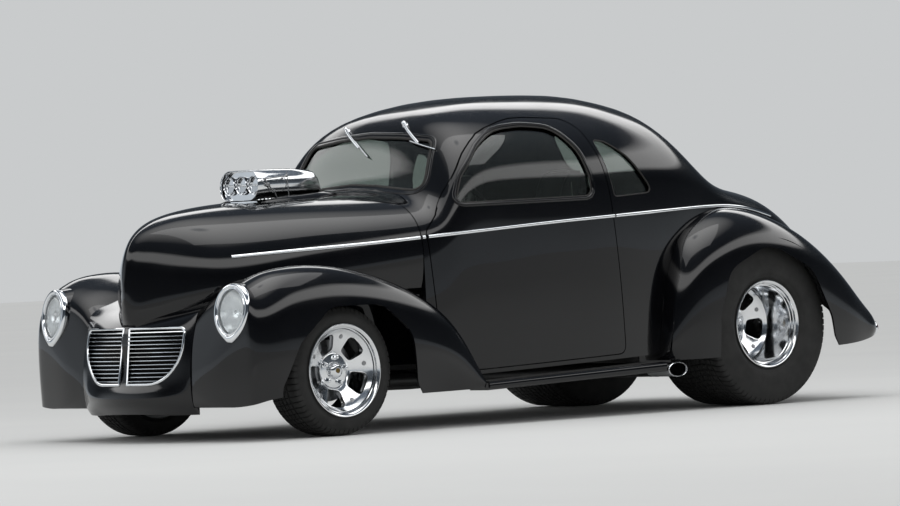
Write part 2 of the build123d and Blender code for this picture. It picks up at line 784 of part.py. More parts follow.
# Wheels, built about the Y axis at the origin with the outer side at +Y
# Axial places are from the middle of the tyre
# name, axle x, centre y, radius, lip, disc depth, tread edge, shoulder, outer bulge,
# inner bulge, inner bead
WHEELS = (
    ("fl", FRONT_AXLE_X, FRONT_TYRE_Y, FRONT_TYRE_R, 114, 78, 74, 88, 104, -99, -96),
    ("rl", REAR_AXLE_X, REAR_TYRE_Y, REAR_TYRE_R, 194, 215, 186, 202, 212, -212, -190),
)
WINDOWS_PER_WHEEL = 5
WINDOW_START = 43
LUG_START = 7
DISC_THICK = 24
BARREL_WALL = 10
HUB_R = 62
LUG_CIRCLE_R = 57


def revolved(profile):
    """Turn an (axial, radius) outline of straight lines about the Y axis."""
    points = [(radius, axial, 0) for axial, radius in profile]
    return Solid.revolve(Face(Wire(line_chain(points + points[:1]))), 360, Axis.Y)


def tyre_solid(radius, tread, shoulder, bulge_out, bulge_in, bead_out, bead_in):
    seat, flange = BARREL_R + 0.5, RIM_LIP_R + 5
    middle = (flange + radius - 22) / 2

    def point(place, at_radius):
        return (at_radius, place, 0)

    edges = line_chain([point(bead_in, flange), point(bead_in, seat), point(bead_out, seat)])
    edges += line_chain([point(bead_out, seat), point(bead_out, flange)])
    over = [
        point(bead_out, flange),
        point(bulge_out, middle),
        point(shoulder, radius - 22),
        point(tread + 8, radius - 8),
        point(tread - 8, radius - 3),
        point(0, radius),
        point(8 - tread, radius - 3),
        point(-tread - 8, radius - 8),
        point(-shoulder, radius - 22),
        point(bulge_in, middle),
        point(bead_in, flange),
    ]
    return Solid.revolve(Face(Wire(edges + arc_chain(over))), 360, Axis.Y)


def wheel_window(disc_from, disc_to, outer_r):
    """One rounded trapezoid opening, centred on the +X axis."""
    inner_r = HUB_R + 20
    inner_half, outer_half = 17, outer_r * 0.42
    corners = [(inner_r, -inner_half, 12), (outer_r, -outer_half, 26)]
    corners += [(outer_r, outer_half, 26), (inner_r, inner_half, 12)]
    flipped = [(-u, v, radius) for u, v, radius in corners]
    plane = Plane(origin=(0, disc_from, 0), x_dir=(-1, 0, 0), z_dir=(0, 1, 0))
    return prism(flipped, plane, disc_to - disc_from)


def rim_solid(lip, depth, bead_in):
    """Barrel with two flanges, a windowed disc, a hub with lug nuts and a centre cap."""
    inner_lip = bead_in - 8.5
    disc_face = lip - depth
    barrel_in = BARREL_R - BARREL_WALL
    rim = revolved(
        [
            (inner_lip, barrel_in),
            (lip, barrel_in + 10),
            (lip, RIM_LIP_R),
            (lip - 8, RIM_LIP_R),
            (lip - 8, BARREL_R),
            (inner_lip + 8, BARREL_R),
            (inner_lip + 8, RIM_LIP_R),
            (inner_lip, RIM_LIP_R),
        ]
    )
    disc = revolved(
        [
            (disc_face - DISC_THICK, 0),
            (disc_face, 0),
            (disc_face, HUB_R + 14),
            (disc_face - 6, HUB_R + 22),
            (disc_face - 6, BARREL_R - 1),
            (disc_face - DISC_THICK, BARREL_R - 1),
        ]
    )
    window = wheel_window(disc_face - 60, disc_face + 20, barrel_in - 22)
    for number in range(WINDOWS_PER_WHEEL):
        angle = WINDOW_START + number * 360 / WINDOWS_PER_WHEEL
        disc -= window.rotate(Axis.Y, -angle)
    rim += disc
    for number in range(WINDOWS_PER_WHEEL):
        angle = math.radians(LUG_START + number * 360 / WINDOWS_PER_WHEEL)
        x, z = LUG_CIRCLE_R * math.cos(angle), LUG_CIRCLE_R * math.sin(angle)
        rim += cylinder_between((x, disc_face - 4, z), (x, disc_face + 18, z), 11)
    rim += cylinder_between((0, disc_face - 4, 0), (0, disc_face + 40, 0), 34)
    rim += cylinder_between((0, disc_face - 44, 0), (0, disc_face - 4, 0), HUB_R)
    return rim


SPINDLE_R = 20
AXLE_SHAFT_R = 25
SHAFT_PLAY = 1
DISC_BRAKE_R = 136
for name, axle_x, centre_y, radius, lip, depth, *tyre_shape, bead_in in WHEELS:
    place = Location((axle_x, centre_y, radius))
    hub_inner = lip - depth - 44
    bore_r = SPINDLE_R + SHAFT_PLAY if name == "fl" else AXLE_SHAFT_R + SHAFT_PLAY
    bore = cylinder_between((0, hub_inner - 5, 0), (0, hub_inner + 30, 0), bore_r)
    rim = rim_solid(lip, depth, bead_in) - bore
    tyre = tyre_solid(radius, *tyre_shape, lip - 8.5, bead_in)
    sides = ((name, 1), (name[0] + "r", -1))
    for side_name, sign in sides:
        for piece, shape in (("rim", rim), ("tyre", tyre)):
            placed = shape.moved(place)
            nodes[f"{piece}_{side_name}"] = placed if sign > 0 else mirrored(placed)

# Front brake discs turn with the wheels; calipers sit on the knuckles
HUB_INNER_Y = FRONT_TYRE_Y + 114 - 78 - 44
brake = cylinder_between(
    (FRONT_AXLE_X, HUB_INNER_Y - 16, FRONT_TYRE_R),
    (FRONT_AXLE_X, HUB_INNER_Y, FRONT_TYRE_R),
    DISC_BRAKE_R,
) - tube_y(SPINDLE_R + SHAFT_PLAY, FRONT_AXLE_X, FRONT_TYRE_R, 500, 800)
nodes["brake_disc_fl"] = brake
nodes["brake_disc_fr"] = mirrored(brake)

upright = box_between(
    (FRONT_AXLE_X - 28, KINGPIN_Y - 14, 214), (FRONT_AXLE_X + 28, KINGPIN_Y + 10, 394)
)
spindle = tube_y(SPINDLE_R, FRONT_AXLE_X, FRONT_TYRE_R, KINGPIN_Y, HUB_INNER_Y + 24)
caliper = box_between(
    (FRONT_AXLE_X - 160, HUB_INNER_Y - 36, 250), (FRONT_AXLE_X - 100, HUB_INNER_Y - 21, 326)
)
link = box_between(
    (FRONT_AXLE_X - 110, KINGPIN_Y - 6, 270), (FRONT_AXLE_X - 10, HUB_INNER_Y - 30, 306)
)
nodes["knuckle_left"] = upright + spindle + caliper + link
nodes["knuckle_right"] = mirrored(nodes["knuckle_left"])

# Side exhausts with oval tips that leave under the rear end of the running boards
pipe_run = [(900, 420, 220), (-330, 420, 205), (-430, 480, 200), (-540, 600, 197), (-550, 680, 196)]
pipe = cylinder_between(pipe_run[0], pipe_run[1], 34)
for start, end in zip(pipe_run[1:], pipe_run[2:]):
    pipe += cylinder_between(start, end, 34) + Solid.make_sphere(34, Plane(start))
tip_outer = extrude(
    Plane(origin=(-552, 650, 196), x_dir=(-1, 0, 0), z_dir=(0, 1, 0)) * Ellipse(58, 33), 160
)
tip_inner = extrude(
    Plane(origin=(-552, 700, 196), x_dir=(-1, 0, 0), z_dir=(0, 1, 0)) * Ellipse(54, 29), 160
)
nodes["exhaust_pipes"] = both_sides((pipe + tip_outer) - tip_inner)

# Cabin fittings
SEAT_Y = 335
cushion = box_between((-180, SEAT_Y - 205, 330), (330, SEAT_Y + 205, 480))
cushion = cushion.fillet(50, cushion.edges().filter_by(Axis.Z))
seat_back = box_between((-310, SEAT_Y - 205, 400), (-185, SEAT_Y + 205, 1020))
seat_back = seat_back.fillet(50, seat_back.edges().filter_by(Axis.X))
seat_back = seat_back.rotate(Axis((-185, 0, 400), (0, 1, 0)), -12)
nodes["seat_cushions"] = both_sides(cushion)
nodes["seat_backs"] = both_sides(seat_back)
dash = box_between((600, -640, 880), (672, 640, 1010)) & body_solid(WALL + 48, 0, WALL)
nodes["dashboard"] = dash
WHEEL_CENTRE = (395, SEAT_Y, 930)
WHEEL_LEAN = 24
WHEEL_R = 185
GRIP_R = 13
COLUMN_LENGTH = 380
grip_corners = [math.radians(45 * number) for number in range(8)]
grip = [(WHEEL_R + GRIP_R * math.cos(a), 0, GRIP_R * math.sin(a)) for a in grip_corners]
wheel_ring = Solid.revolve(Face(Wire(line_chain(grip + grip[:1]))), 360, Axis.Z)
steering = cylinder_between((0, 0, -COLUMN_LENGTH), (0, 0, 14), 16)
steering += cylinder_between((0, 0, -6), (0, 0, 10), 34)
for angle in (90, 210, 330):
    spoke = box_between((2, -11, -3.5), (WHEEL_R, 11, 3.5))
    steering += spoke.rotate(Axis.Z, angle)
steering += wheel_ring
wheel_axis = (-1, 0, math.tan(math.radians(WHEEL_LEAN)))
nodes["steering_wheel"] = steering.moved(Location(Plane(WHEEL_CENTRE, z_dir=wheel_axis)))

for node_name, shape in nodes.items():
    export_step(shape, f"parts/{node_name}.step")
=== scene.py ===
# %% [markdown]
# # Black coupe hot rod
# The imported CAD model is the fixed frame. Everything below dresses it: first the camera and
# the studio, then materials, then the smooth body skins, and then the wheels and the fittings.

# %% Load the frame
import bpy
import bmesh
import json
import math
import numpy as np
from mathutils import Matrix, Vector
from mathutils.bvhtree import BVHTree
from mathutils.interpolate import poly_3d_calc

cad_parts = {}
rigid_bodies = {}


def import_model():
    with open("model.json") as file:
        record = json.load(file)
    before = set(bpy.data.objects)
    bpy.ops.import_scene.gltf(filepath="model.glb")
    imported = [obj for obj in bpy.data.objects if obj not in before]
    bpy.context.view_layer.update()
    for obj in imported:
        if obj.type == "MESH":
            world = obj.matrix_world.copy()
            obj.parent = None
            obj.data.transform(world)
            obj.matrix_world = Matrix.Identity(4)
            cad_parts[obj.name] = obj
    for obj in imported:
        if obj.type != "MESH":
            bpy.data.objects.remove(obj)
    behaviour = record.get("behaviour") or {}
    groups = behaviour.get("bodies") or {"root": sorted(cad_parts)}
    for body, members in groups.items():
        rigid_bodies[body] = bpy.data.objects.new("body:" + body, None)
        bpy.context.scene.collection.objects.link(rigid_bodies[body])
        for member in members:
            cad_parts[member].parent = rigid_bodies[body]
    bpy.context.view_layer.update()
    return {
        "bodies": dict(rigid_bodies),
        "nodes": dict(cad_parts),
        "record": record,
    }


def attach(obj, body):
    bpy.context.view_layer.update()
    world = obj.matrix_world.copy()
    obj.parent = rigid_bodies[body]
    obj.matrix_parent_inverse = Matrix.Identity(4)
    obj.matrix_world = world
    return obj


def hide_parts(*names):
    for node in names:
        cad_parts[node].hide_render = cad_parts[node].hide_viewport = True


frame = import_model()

bodies, nodes = frame["bodies"], frame["nodes"]

# %% [markdown]
# The camera was solved from the photograph: the wheels' ellipses and the 2.591 m wheelbase
# give its place, and a long lens from nearly ground height gives the flat side view. The
# ground slopes to the right in the photograph, so the camera is rolled a little.

# %% Camera
CAMERA_PLACE = Vector((16.575, 18.780, 0.853))
AZIMUTH, ELEVATION, ROLL = (math.radians(a) for a in (138.80, 0.58, -2.47))
LENS, SENSOR, CLIP_END = 214.4, 36.0, 200
SHIFT_X, SHIFT_Y = 0.0024, 0.0426


def linked(name, data):
    """A new object in the scene."""
    made = bpy.data.objects.new(name, data)
    bpy.context.scene.collection.objects.link(made)
    return made


back = Vector((
    math.sin(AZIMUTH) * math.cos(ELEVATION),
    -math.cos(AZIMUTH) * math.cos(ELEVATION),
    math.sin(ELEVATION),
))
level_right = (-back).cross(Vector((0, 0, 1))).normalized()
level_up = level_right.cross(-back)
right = math.cos(ROLL) * level_right + math.sin(ROLL) * level_up
up = -math.sin(ROLL) * level_right + math.cos(ROLL) * level_up
camera = linked("camera", bpy.data.cameras.new("camera"))
turn = Matrix((right, up, back)).transposed().to_4x4()
camera.matrix_world = Matrix.Translation(CAMERA_PLACE) @ turn
camera.data.lens = LENS
camera.data.sensor_width = SENSOR
camera.data.shift_x, camera.data.shift_y = SHIFT_X, SHIFT_Y
camera.data.clip_end = CLIP_END
bpy.context.scene.camera = camera
print("camera looks along", [round(v, 3) for v in -back])

# %% [markdown]
# Every material is procedural. `add` makes one node with its settings and links, and
# `material` makes a Principled material whose roughness, bump and tint come from noise.

# %% Material helpers
# The range that noise mostly fills, and its detail
NOISE_LOW, NOISE_HIGH, NOISE_DETAIL = 0.3, 0.7, 4.0
# Sockets of a Mix node for colours, several of which share one name
MIX_FACTOR, MIX_A, MIX_B, MIX_RESULT = 0, 6, 7, 2


def linear(code):
    """An sRGB hex colour as linear RGBA."""
    channels = [int(code[i:i + 2], 16) / 255 for i in (0, 2, 4)]
    return (*[c / 12.92 if c <= 0.04045 else ((c + 0.055) / 1.055) ** 2.4 for c in channels], 1)


def add(tree, kind, settings=None, links=None):
    """A node with settings by input name or attribute, and links by input name."""
    node = tree.nodes.new(kind)
    for key, value in (settings or {}).items():
        if key in node.inputs:
            node.inputs[key].default_value = value
        else:
            setattr(node, key, value)
    for key, source in (links or {}).items():
        tree.links.new(source, node.inputs[key])
    return node


def material(name, settings, rough=None, bump=None, tint=None):
    """A Principled material.

    rough is (low, high, scale), bump (strength, depth, scale) and tint (hex, hex, scale).
    """
    made = bpy.data.materials.new(name)
    made.use_nodes = True
    tree = made.node_tree
    tree.nodes.clear()
    shader = add(tree, "ShaderNodeBsdfPrincipled", settings)
    output = add(tree, "ShaderNodeOutputMaterial")
    tree.links.new(shader.outputs["BSDF"], output.inputs["Surface"])
    place = add(tree, "ShaderNodeTexCoord").outputs["Object"]

    def noise(scale):
        look = {"Scale": scale, "Detail": NOISE_DETAIL}
        return add(tree, "ShaderNodeTexNoise", look, {"Vector": place}).outputs["Fac"]

    if rough:
        low, high, scale = rough
        spread = add(
            tree, "ShaderNodeMapRange",
            {"From Min": NOISE_LOW, "From Max": NOISE_HIGH, "To Min": low, "To Max": high},
            {"Value": noise(scale)},
        )
        tree.links.new(spread.outputs["Result"], shader.inputs["Roughness"])
    if bump:
        strength, depth, scale = bump
        relief = add(
            tree, "ShaderNodeBump", {"Strength": strength, "Distance": depth},
            {"Height": noise(scale)},
        )
        tree.links.new(relief.outputs["Normal"], shader.inputs["Normal"])
    if tint:
        first, second, scale = tint
        mix = add(tree, "ShaderNodeMix", {"data_type": "RGBA"})
        mix.inputs[MIX_A].default_value = linear(first)
        mix.inputs[MIX_B].default_value = linear(second)
        tree.links.new(noise(scale), mix.inputs[MIX_FACTOR])
        tree.links.new(mix.outputs[MIX_RESULT], shader.inputs["Base Color"])
    return made


# %% Materials
# Slot in the CAD model, then the material's name, settings, roughness, bump and tint
LOOKS = (
    ("black_paint", "gloss_black_enamel",
     {"IOR": 1.5, "Specular IOR Level": 0.1, "Coat Weight": 1.0, "Coat Roughness": 0.012,
      "Coat IOR": 1.43},
     (0.1, 0.2, 6), (0.02, 0.0003, 160), ("050507", "09090b", 3)),
    ("chassis_paint", "satin_black_enamel", {"IOR": 1.5},
     (0.3, 0.5, 20), (0.1, 0.0005, 300), ("0d0d0e", "161616", 8)),
    ("chrome", "chrome_plate", {"Base Color": linear("eceef0"), "Metallic": 1.0},
     (0.02, 0.06, 25)),
    ("polished_alloy", "polished_aluminium", {"Metallic": 1.0},
     (0.07, 0.17, 60), (0.04, 0.0002, 900), ("dfe1e3", "eff0f1", 12)),
    ("steel", "machined_steel", {"Metallic": 1.0},
     (0.25, 0.4, 90), (0.1, 0.0002, 700), ("8f9092", "a8a9aa", 20)),
    ("iron", "painted_cast_iron", {"IOR": 1.5},
     (0.45, 0.65, 30), (0.4, 0.0008, 500), ("242425", "343434", 14)),
    ("tyre_rubber", "tyre_rubber", {"IOR": 1.5, "Specular IOR Level": 0.35},
     (0.62, 0.85, 18), (0.25, 0.0004, 900), ("1b1b1b", "272726", 7)),
    ("tinted_glass", "tinted_safety_glass",
     {"Base Color": linear("a9b2ad"), "Roughness": 0.0, "IOR": 1.5, "Transmission Weight": 1.0}),
    ("lamp_glass", "clear_lamp_glass",
     {"Base Color": linear("f6f8f9"), "Roughness": 0.01, "IOR": 1.45,
      "Transmission Weight": 1.0}),
    ("red_lens", "red_acrylic_lens",
     {"Base Color": linear("b8101a"), "Roughness": 0.06, "IOR": 1.49,
      "Transmission Weight": 0.5}),
    ("seat_hide", "black_seat_leather", {"IOR": 1.45},
     (0.42, 0.6, 40), (0.5, 0.0006, 420), ("1c1a1b", "2a2728", 10)),
    ("trim_black", "black_moulded_trim", {"IOR": 1.46},
     (0.5, 0.7, 50), (0.3, 0.0005, 650), ("121213", "1c1c1d", 15)),
)
CAD_FINISH = {slot: material(*look) for slot, *look in LOOKS}
for part in frame["record"]["subparts"]:
    piece = nodes[part["node"]]
    for slot in piece.material_slots:
        slot.material = CAD_FINISH[part["material_slot"]]
print("materials", len(CAD_FINISH))

# %% [markdown]
# The painted panels are smooth skins. Each has a short table of sections with the same sizes
# as the CAD model, in millimetres. Splines run round each section and along the car, the
# grids are closed into volumes, and the panels are cut from them as the real ones part:
# doors, windows, lid, wheel arches and seams. The cut faces stay flat, and all others take
# the spline surface's own normals, so that reflections run smoothly over each gap.

# %% Spline grids
MM = 0.001


def chords(points):
    """Distance along a line of points."""
    steps = np.linalg.norm(np.diff(points, axis=0), axis=-1)
    return np.concatenate([[0.0], np.cumsum(steps)])


def natural_spline(params, values, places):
    """A natural cubic spline through values at params, evaluated at places."""
    params, places = np.asarray(params, float), np.asarray(places, float)
    values = np.asarray(values, float)
    flat = values.reshape(len(params), -1)
    gaps = np.diff(params)
    left, right_side = np.eye(len(params)), np.zeros((len(params), len(params)))
    for i in range(1, len(params) - 1):
        left[i, i - 1:i + 2] = gaps[i - 1], 2 * (gaps[i - 1] + gaps[i]), gaps[i]
        right_side[i, i - 1:i + 2] = 6 / gaps[i - 1], -6 / gaps[i - 1] - 6 / gaps[i], 6 / gaps[i]
    bend = np.linalg.solve(left, right_side @ flat)
    k = np.clip(np.searchsorted(params, places) - 1, 0, len(gaps) - 1)
    wide = gaps[k][:, None]
    a = (params[k + 1] - places)[:, None] / wide
    b = 1 - a
    out = a * flat[k] + b * flat[k + 1]
    out += ((a**3 - a) * bend[k] + (b**3 - b) * bend[k + 1]) * wide**2 / 6
    return out.reshape(len(places), *values.shape[1:])


def between(params, counts):
    """Places along params, with counts[i] steps in each span and the last end."""
    spans = [np.linspace(a, b, n, endpoint=False) for a, b, n in zip(params, params[1:], counts)]
    return np.concatenate(spans + [params[-1:]])


def dense(points, steps=3):
    """A smooth line through points, with the same number of steps in each span."""
    points = np.asarray(points, float)
    params = chords(points)
    return natural_spline(params, points, between(params, [steps] * (len(points) - 1)))


def grid_over(rings, spacing):
    """Rings of equal length joined by splines, with rows about spacing apart."""
    rings = np.asarray(rings, float)
    steps = np.linalg.norm(np.diff(rings, axis=0), axis=-1).mean(axis=1)
    params = np.concatenate([[0.0], np.cumsum(steps)])
    counts = [max(2, round(step / spacing)) for step in steps]
    return natural_spline(params, rings, between(params, counts))


def super_point(width, height, power, degrees):
    """A point of a quarter superellipse, 0 degrees at the side and 90 at the top."""
    angle = math.radians(degrees)
    return width * math.cos(angle) ** (2 / power), height * math.sin(angle) ** (2 / power)


def mirror_half(half):
    """A half profile of (y, z), from the sill to the crown, with its mirror image."""
    half = np.asarray(half, float)
    other = half[-2::-1] * (-1, 1)
    return np.vstack([half, other])


def at_x(x, profile):
    """A (y, z) profile as points at one station."""
    return np.column_stack([np.full(len(profile), float(x)), profile])


# %% Skin meshes
# How near in metres a point lies on a skin, and how well a face has to agree with its normal
SKIN_REACH, AGREEMENT = 0.0012, 0.8
# Arcs at corners: their share of an edge, least turn and step in radians, least mitre
CORNER_ROOM, LEAST_TURN, ARC_STEP, LEAST_MITRE = 0.49, 0.01, 0.16, 0.5


def mesh_object(name, verts, faces):
    """An object from points in metres and faces, linked to the scene."""
    mesh = bpy.data.meshes.new(name)
    mesh.from_pydata([tuple(v) for v in verts], [], [tuple(int(i) for i in f) for f in faces])
    return linked(name, mesh)


def outward(made):
    """Turn a closed mesh's faces outward."""
    work = bmesh.new()
    work.from_mesh(made.data)
    bmesh.ops.recalc_face_normals(work, faces=work.faces)
    work.to_mesh(made.data)
    work.free()
    return made


def quads_of(rows, count, closed, joined=False):
    """Quads of a grid, whose rings may be closed and whose last ring may meet the first."""
    r, c = np.meshgrid(
        np.arange(rows if joined else rows - 1), np.arange(count if closed else count - 1),
        indexing="ij",
    )
    r, c = r.ravel(), c.ravel()
    s, d = (r + 1) % rows, (c + 1) % count
    return np.column_stack([r * count + c, r * count + d, s * count + d, s * count + c])


def tube_faces(rows, count, caps=True):
    """Faces of a tube through closed rings, with or without its two ends."""
    faces = [tuple(q) for q in quads_of(rows, count, True)]
    if caps:
        faces += [tuple(range(count)), tuple(range((rows - 1) * count, rows * count))[::-1]]
    return faces


def volume(name, grid):
    """A closed mesh over a grid in millimetres, whose rings close on themselves."""
    return outward(mesh_object(name, grid.reshape(-1, 3) * MM, tube_faces(*grid.shape[:2])))


class Skin:
    """A smooth surface that lends its normals to what was cut from it."""

    def __init__(self, grid):
        rows, count = grid.shape[:2]
        along, across = np.gradient(grid, axis=0), np.gradient(grid, axis=1)
        normals = np.cross(along, across)
        normals /= np.maximum(np.linalg.norm(normals, axis=-1, keepdims=True), 1e-9)
        self.points = [Vector(p) for p in grid.reshape(-1, 3) * MM]
        self.normals = [Vector(n) for n in normals.reshape(-1, 3)]
        self.quads = [tuple(int(i) for i in q) for q in quads_of(rows, count, False)]
        self.tree = BVHTree.FromPolygons(self.points, self.quads)

    def normal_at(self, place):
        """The smooth normal at a place on the surface, or None away from it."""
        near, _, index, _ = self.tree.find_nearest(place, SKIN_REACH)
        if near is None:
            return None
        quad = self.quads[index]
        shares = poly_3d_calc([self.points[i] for i in quad], near)
        total = Vector()
        for i, share in zip(quad, shares):
            total += self.normals[i] * share
        return total.normalized() if total.length > 1e-6 else None


def mirrored_copy(source, name):
    """A mirror image of a mesh object across the car's middle plane."""
    verts = [(v.co.x, -v.co.y, v.co.z) for v in source.data.vertices]
    faces = [list(p.vertices)[::-1] for p in source.data.polygons]
    return mesh_object(name, verts, faces)


def evaluated_mesh(made):
    """The mesh of an object with its modifiers applied."""
    graph = bpy.context.evaluated_depsgraph_get()
    return bpy.data.meshes.new_from_object(made.evaluated_get(graph))


def carve(name, start, steps):
    """A new object: start with each (operation, tool) applied in turn."""
    work = start.copy()
    bpy.context.scene.collection.objects.link(work)
    for operation, tool in steps:
        step = work.modifiers.new("step", "BOOLEAN")
        step.operation, step.object, step.solver = operation, tool, "MANIFOLD"
    mesh = evaluated_mesh(work)
    bpy.data.objects.remove(work)
    return linked(name, mesh)


def less(*cuts):
    """The carving steps that take each tool away."""
    return [("DIFFERENCE", cut) for cut in cuts]


def smooth_from(made, skins):
    """Give each face corner the nearest skin's normal, where the face agrees with it."""
    mesh = made.data
    found = [[skin.normal_at(v.co) for skin in skins] for v in mesh.vertices]
    normals = []
    for face in mesh.polygons:
        face.use_smooth = True
        for vertex in face.vertices:
            best, chosen = AGREEMENT, face.normal
            for normal in found[vertex]:
                if normal is not None and abs(normal.dot(face.normal)) > best:
                    best = abs(normal.dot(face.normal))
                    chosen = normal if normal.dot(face.normal) > 0 else -normal
            normals.append(tuple(chosen))
    mesh.normals_split_custom_set(normals)
    return made


def rounded_outline(corners, grow=0.0):
    """Points of an outline of (u, v, radius) corners, with each corner as an arc."""
    places = [Vector(corner[:2]) for corner in corners]
    line = []
    for i, (u, v, radius) in enumerate(corners):
        here, before, after = places[i], places[i - 1], places[(i + 1) % len(places)]
        a, b = (before - here), (after - here)
        room = CORNER_ROOM * min(a.length, b.length)
        a.normalize()
        b.normalize()
        turn = math.pi - a.angle(b)
        if radius <= 0 or turn < LEAST_TURN:
            line.append(here)
            continue
        back_off = min(radius * math.tan(turn / 2), room)
        start, end = here + a * back_off, here + b * back_off
        steps = max(2, int(turn / ARC_STEP))
        for k in range(steps + 1):
            t = k / steps
            line.append(start * (1 - t) ** 2 + here * 2 * t * (1 - t) + end * t**2)
    if not grow:
        return line
    area = sum(p.x * q.y - q.x * p.y for p, q in zip(line, line[1:] + line[:1]))
    side = 1 if area > 0 else -1
    grown = []
    for i, here in enumerate(line):
        a = (here - line[i - 1]).normalized()
        b = (line[(i + 1) % len(line)] - here).normalized()
        normal = Vector((a.y + b.y, -a.x - b.x)).normalized() * side
        mitre = max(LEAST_MITRE, normal.dot(Vector((a.y, -a.x))) * side)
        grown.append(here + normal * grow / mitre)
    return grown


def prism(name, corners, to_place, low, high, grow=0.0):
    """A closed prism: to_place(u, v, depth) gives the point for an outline point and a depth."""
    line = rounded_outline(corners, grow)
    rings = [[to_place(p.x, p.y, depth) for p in line] for depth in (low, high)]
    return volume(name, np.array(rings, float))


def seen_from_side(u, v, depth):
    return u, depth, v


def seen_from_right(u, v, depth):
    return u, -depth, v


def seen_from_front(u, v, depth):
    return depth, u, v


def seen_from_above(u, v, depth):
    return u, v, depth


finished = []


def finish_piece(made, name, slot, stands_for=(), finish=None, body="car_body"):
    """Name a piece, give it its slot's material or another, and let it ride on its body."""
    made.name = name
    made.data.materials.clear()
    made.data.materials.append(finish or CAD_FINISH[slot])
    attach(made, body)
    if stands_for:
        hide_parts(*stands_for)
    finished.append(name)
    return made


def tell(title):
    """Print the pieces that were finished since the last call."""
    print(f"{title}:", ", ".join(finished))
    finished.clear()


# Volumes that only cut, and are cleared away at the end
tools = []


def tool_volume(name, grid):
    tools.append(volume(name, grid))
    return tools[-1]


def plain_tool(name, corners, seen, reach, grow=0.0):
    """A cutting prism over an outline, seen from one side, between two depths."""
    tools.append(prism(name, corners, seen, *reach, grow))
    return tools[-1]


# %% [markdown]
# ## Cabin, doors, lid and glass

# %% Body sections
# Cabin and tail skin, from the cowl to the tail, which three small sections round off
# x, sill height, sill half width, belt height, belt half width, crown height, fullness
BODY_SECTIONS = (
    (811, 214, 604, 740, 622, 1066, 3.0),
    (700, 220, 622, 800, 640, 1098, 2.85),
    (620, 224, 634, 850, 656, 1234, 2.8),
    (530, 228, 648, 870, 672, 1372, 2.85),
    (380, 234, 668, 885, 692, 1450, 2.7),
    (170, 242, 688, 898, 714, 1490, 2.5),
    (-40, 250, 701, 908, 727, 1503, 2.4),
    (-260, 258, 706, 918, 732, 1505, 2.35),
    (-480, 266, 696, 927, 718, 1496, 2.3),
    (-640, 270, 679, 933, 701, 1470, 2.28),
    (-770, 272, 657, 935, 683, 1430, 2.27),
    (-900, 276, 632, 935, 660, 1330, 2.25),
    (-1060, 280, 600, 925, 628, 1158, 2.27),
    (-1240, 284, 562, 900, 588, 1068, 2.35),
    (-1500, 290, 500, 820, 526, 1018, 2.35),
    (-1750, 300, 420, 700, 446, 902, 2.27),
    (-1930, 318, 340, 580, 362, 780, 2.17),
    (-2040, 345, 240, 500, 262, 660, 2.07),
    (-2076, 380, 158, 482, 174, 590, 2.0),
    (-2087, 398, 110, 470, 122, 552, 2.0),
    (-2090, 430, 40, 460, 44, 500, 2.0),
)
SIDE_BULGE, BODY_ANGLES = 10, (12, 24, 36, 48, 62, 76)
WALL, GLASS_INSET, GLASS_THICK, PANEL_GAP, SEAM = 34, 13, 6, 5, 1
# Inner volumes reach further down, which leaves the skins open below
INNER_DROP, NARROWEST, COARSE = 60, 60, 34
SIDES = ("left", "right")


def half_profile(section, inset, drop, bulge, angles):
    """Half a section as (y, z): lower edge, bulged side, and a superellipse to the crown."""
    _, z_low, w_low, z_side, w_side, z_crown, power = section
    w_low, w_side, z_crown = w_low - inset, w_side - inset, z_crown - inset
    half = [
        (w_low, z_low - drop),
        ((w_low + w_side) / 2 + bulge, (z_low - drop + z_side) / 2),
        (w_side, z_side),
    ]
    for degrees in angles:
        y, z = super_point(w_side, z_crown - z_side, power, degrees)
        half.append((y, z_side + z))
    return half + [(0, z_crown)]


def body_profile(section, inset, drop):
    return dense(mirror_half(half_profile(section, inset, drop, SIDE_BULGE, BODY_ANGLES)))


def skin_grid(sections, profile, inset, drop, spacing, front=0, rear=0):
    """A table's sections joined into a grid, with its two ends moved along the car."""
    rows = [list(row) for row in sections]
    rows[0][0] += front
    rows[-1][0] += rear
    return grid_over([at_x(row[0], profile(row, inset, drop)) for row in rows], spacing)


def body_grid(inset=0, drop=0, ahead=0, spacing=24):
    """The body's skin, whose two ends may lie further ahead."""
    rows = BODY_SECTIONS
    if inset:
        rows = [row for row in rows[:-2] if row[2] > inset + NARROWEST]
    return skin_grid(rows, body_profile, inset, drop, spacing, ahead, ahead)


# %% Body volumes
outer_grid, inner_grid = body_grid(), body_grid(WALL, INNER_DROP, ahead=WALL, spacing=COARSE)
outer_skin, inner_skin = Skin(outer_grid), Skin(inner_grid)
outer_body = tool_volume("outer_body", outer_grid)
inner_body = tool_volume("inner_body", inner_grid)
grown_body = tool_volume("grown_body", body_grid(-SEAM, SEAM, spacing=COARSE))
print("body grid", outer_grid.shape, inner_grid.shape)

# %% Openings
# Openings, seen from the side as (x, z, corner radius)
DOOR_OUTLINE = (
    (786, 878, 50), (748, 455, 25), (640, 378, 60), (545, 250, 50), (-322, 284, 40),
    (-224, 1195, 300), (-190, 1374, 115), (150, 1388, 500), (400, 1322, 350), (520, 1228, 250),
    (640, 1058, 150), (712, 950, 60),
)
DOOR_WINDOW = (
    (628, 1001, 32), (572, 1125, 200), (440, 1262, 300), (300, 1337, 300), (125, 1352, 400),
    (-40, 1336, 130), (-118, 1230, 150), (-142, 1110, 100), (-140, 1012, 70),
)
QUARTER_WINDOW = (
    (-272, 1003, 25), (-545, 1019, 35), (-420, 1200, 250), (-310, 1268, 100), (-236, 1276, 22),
)
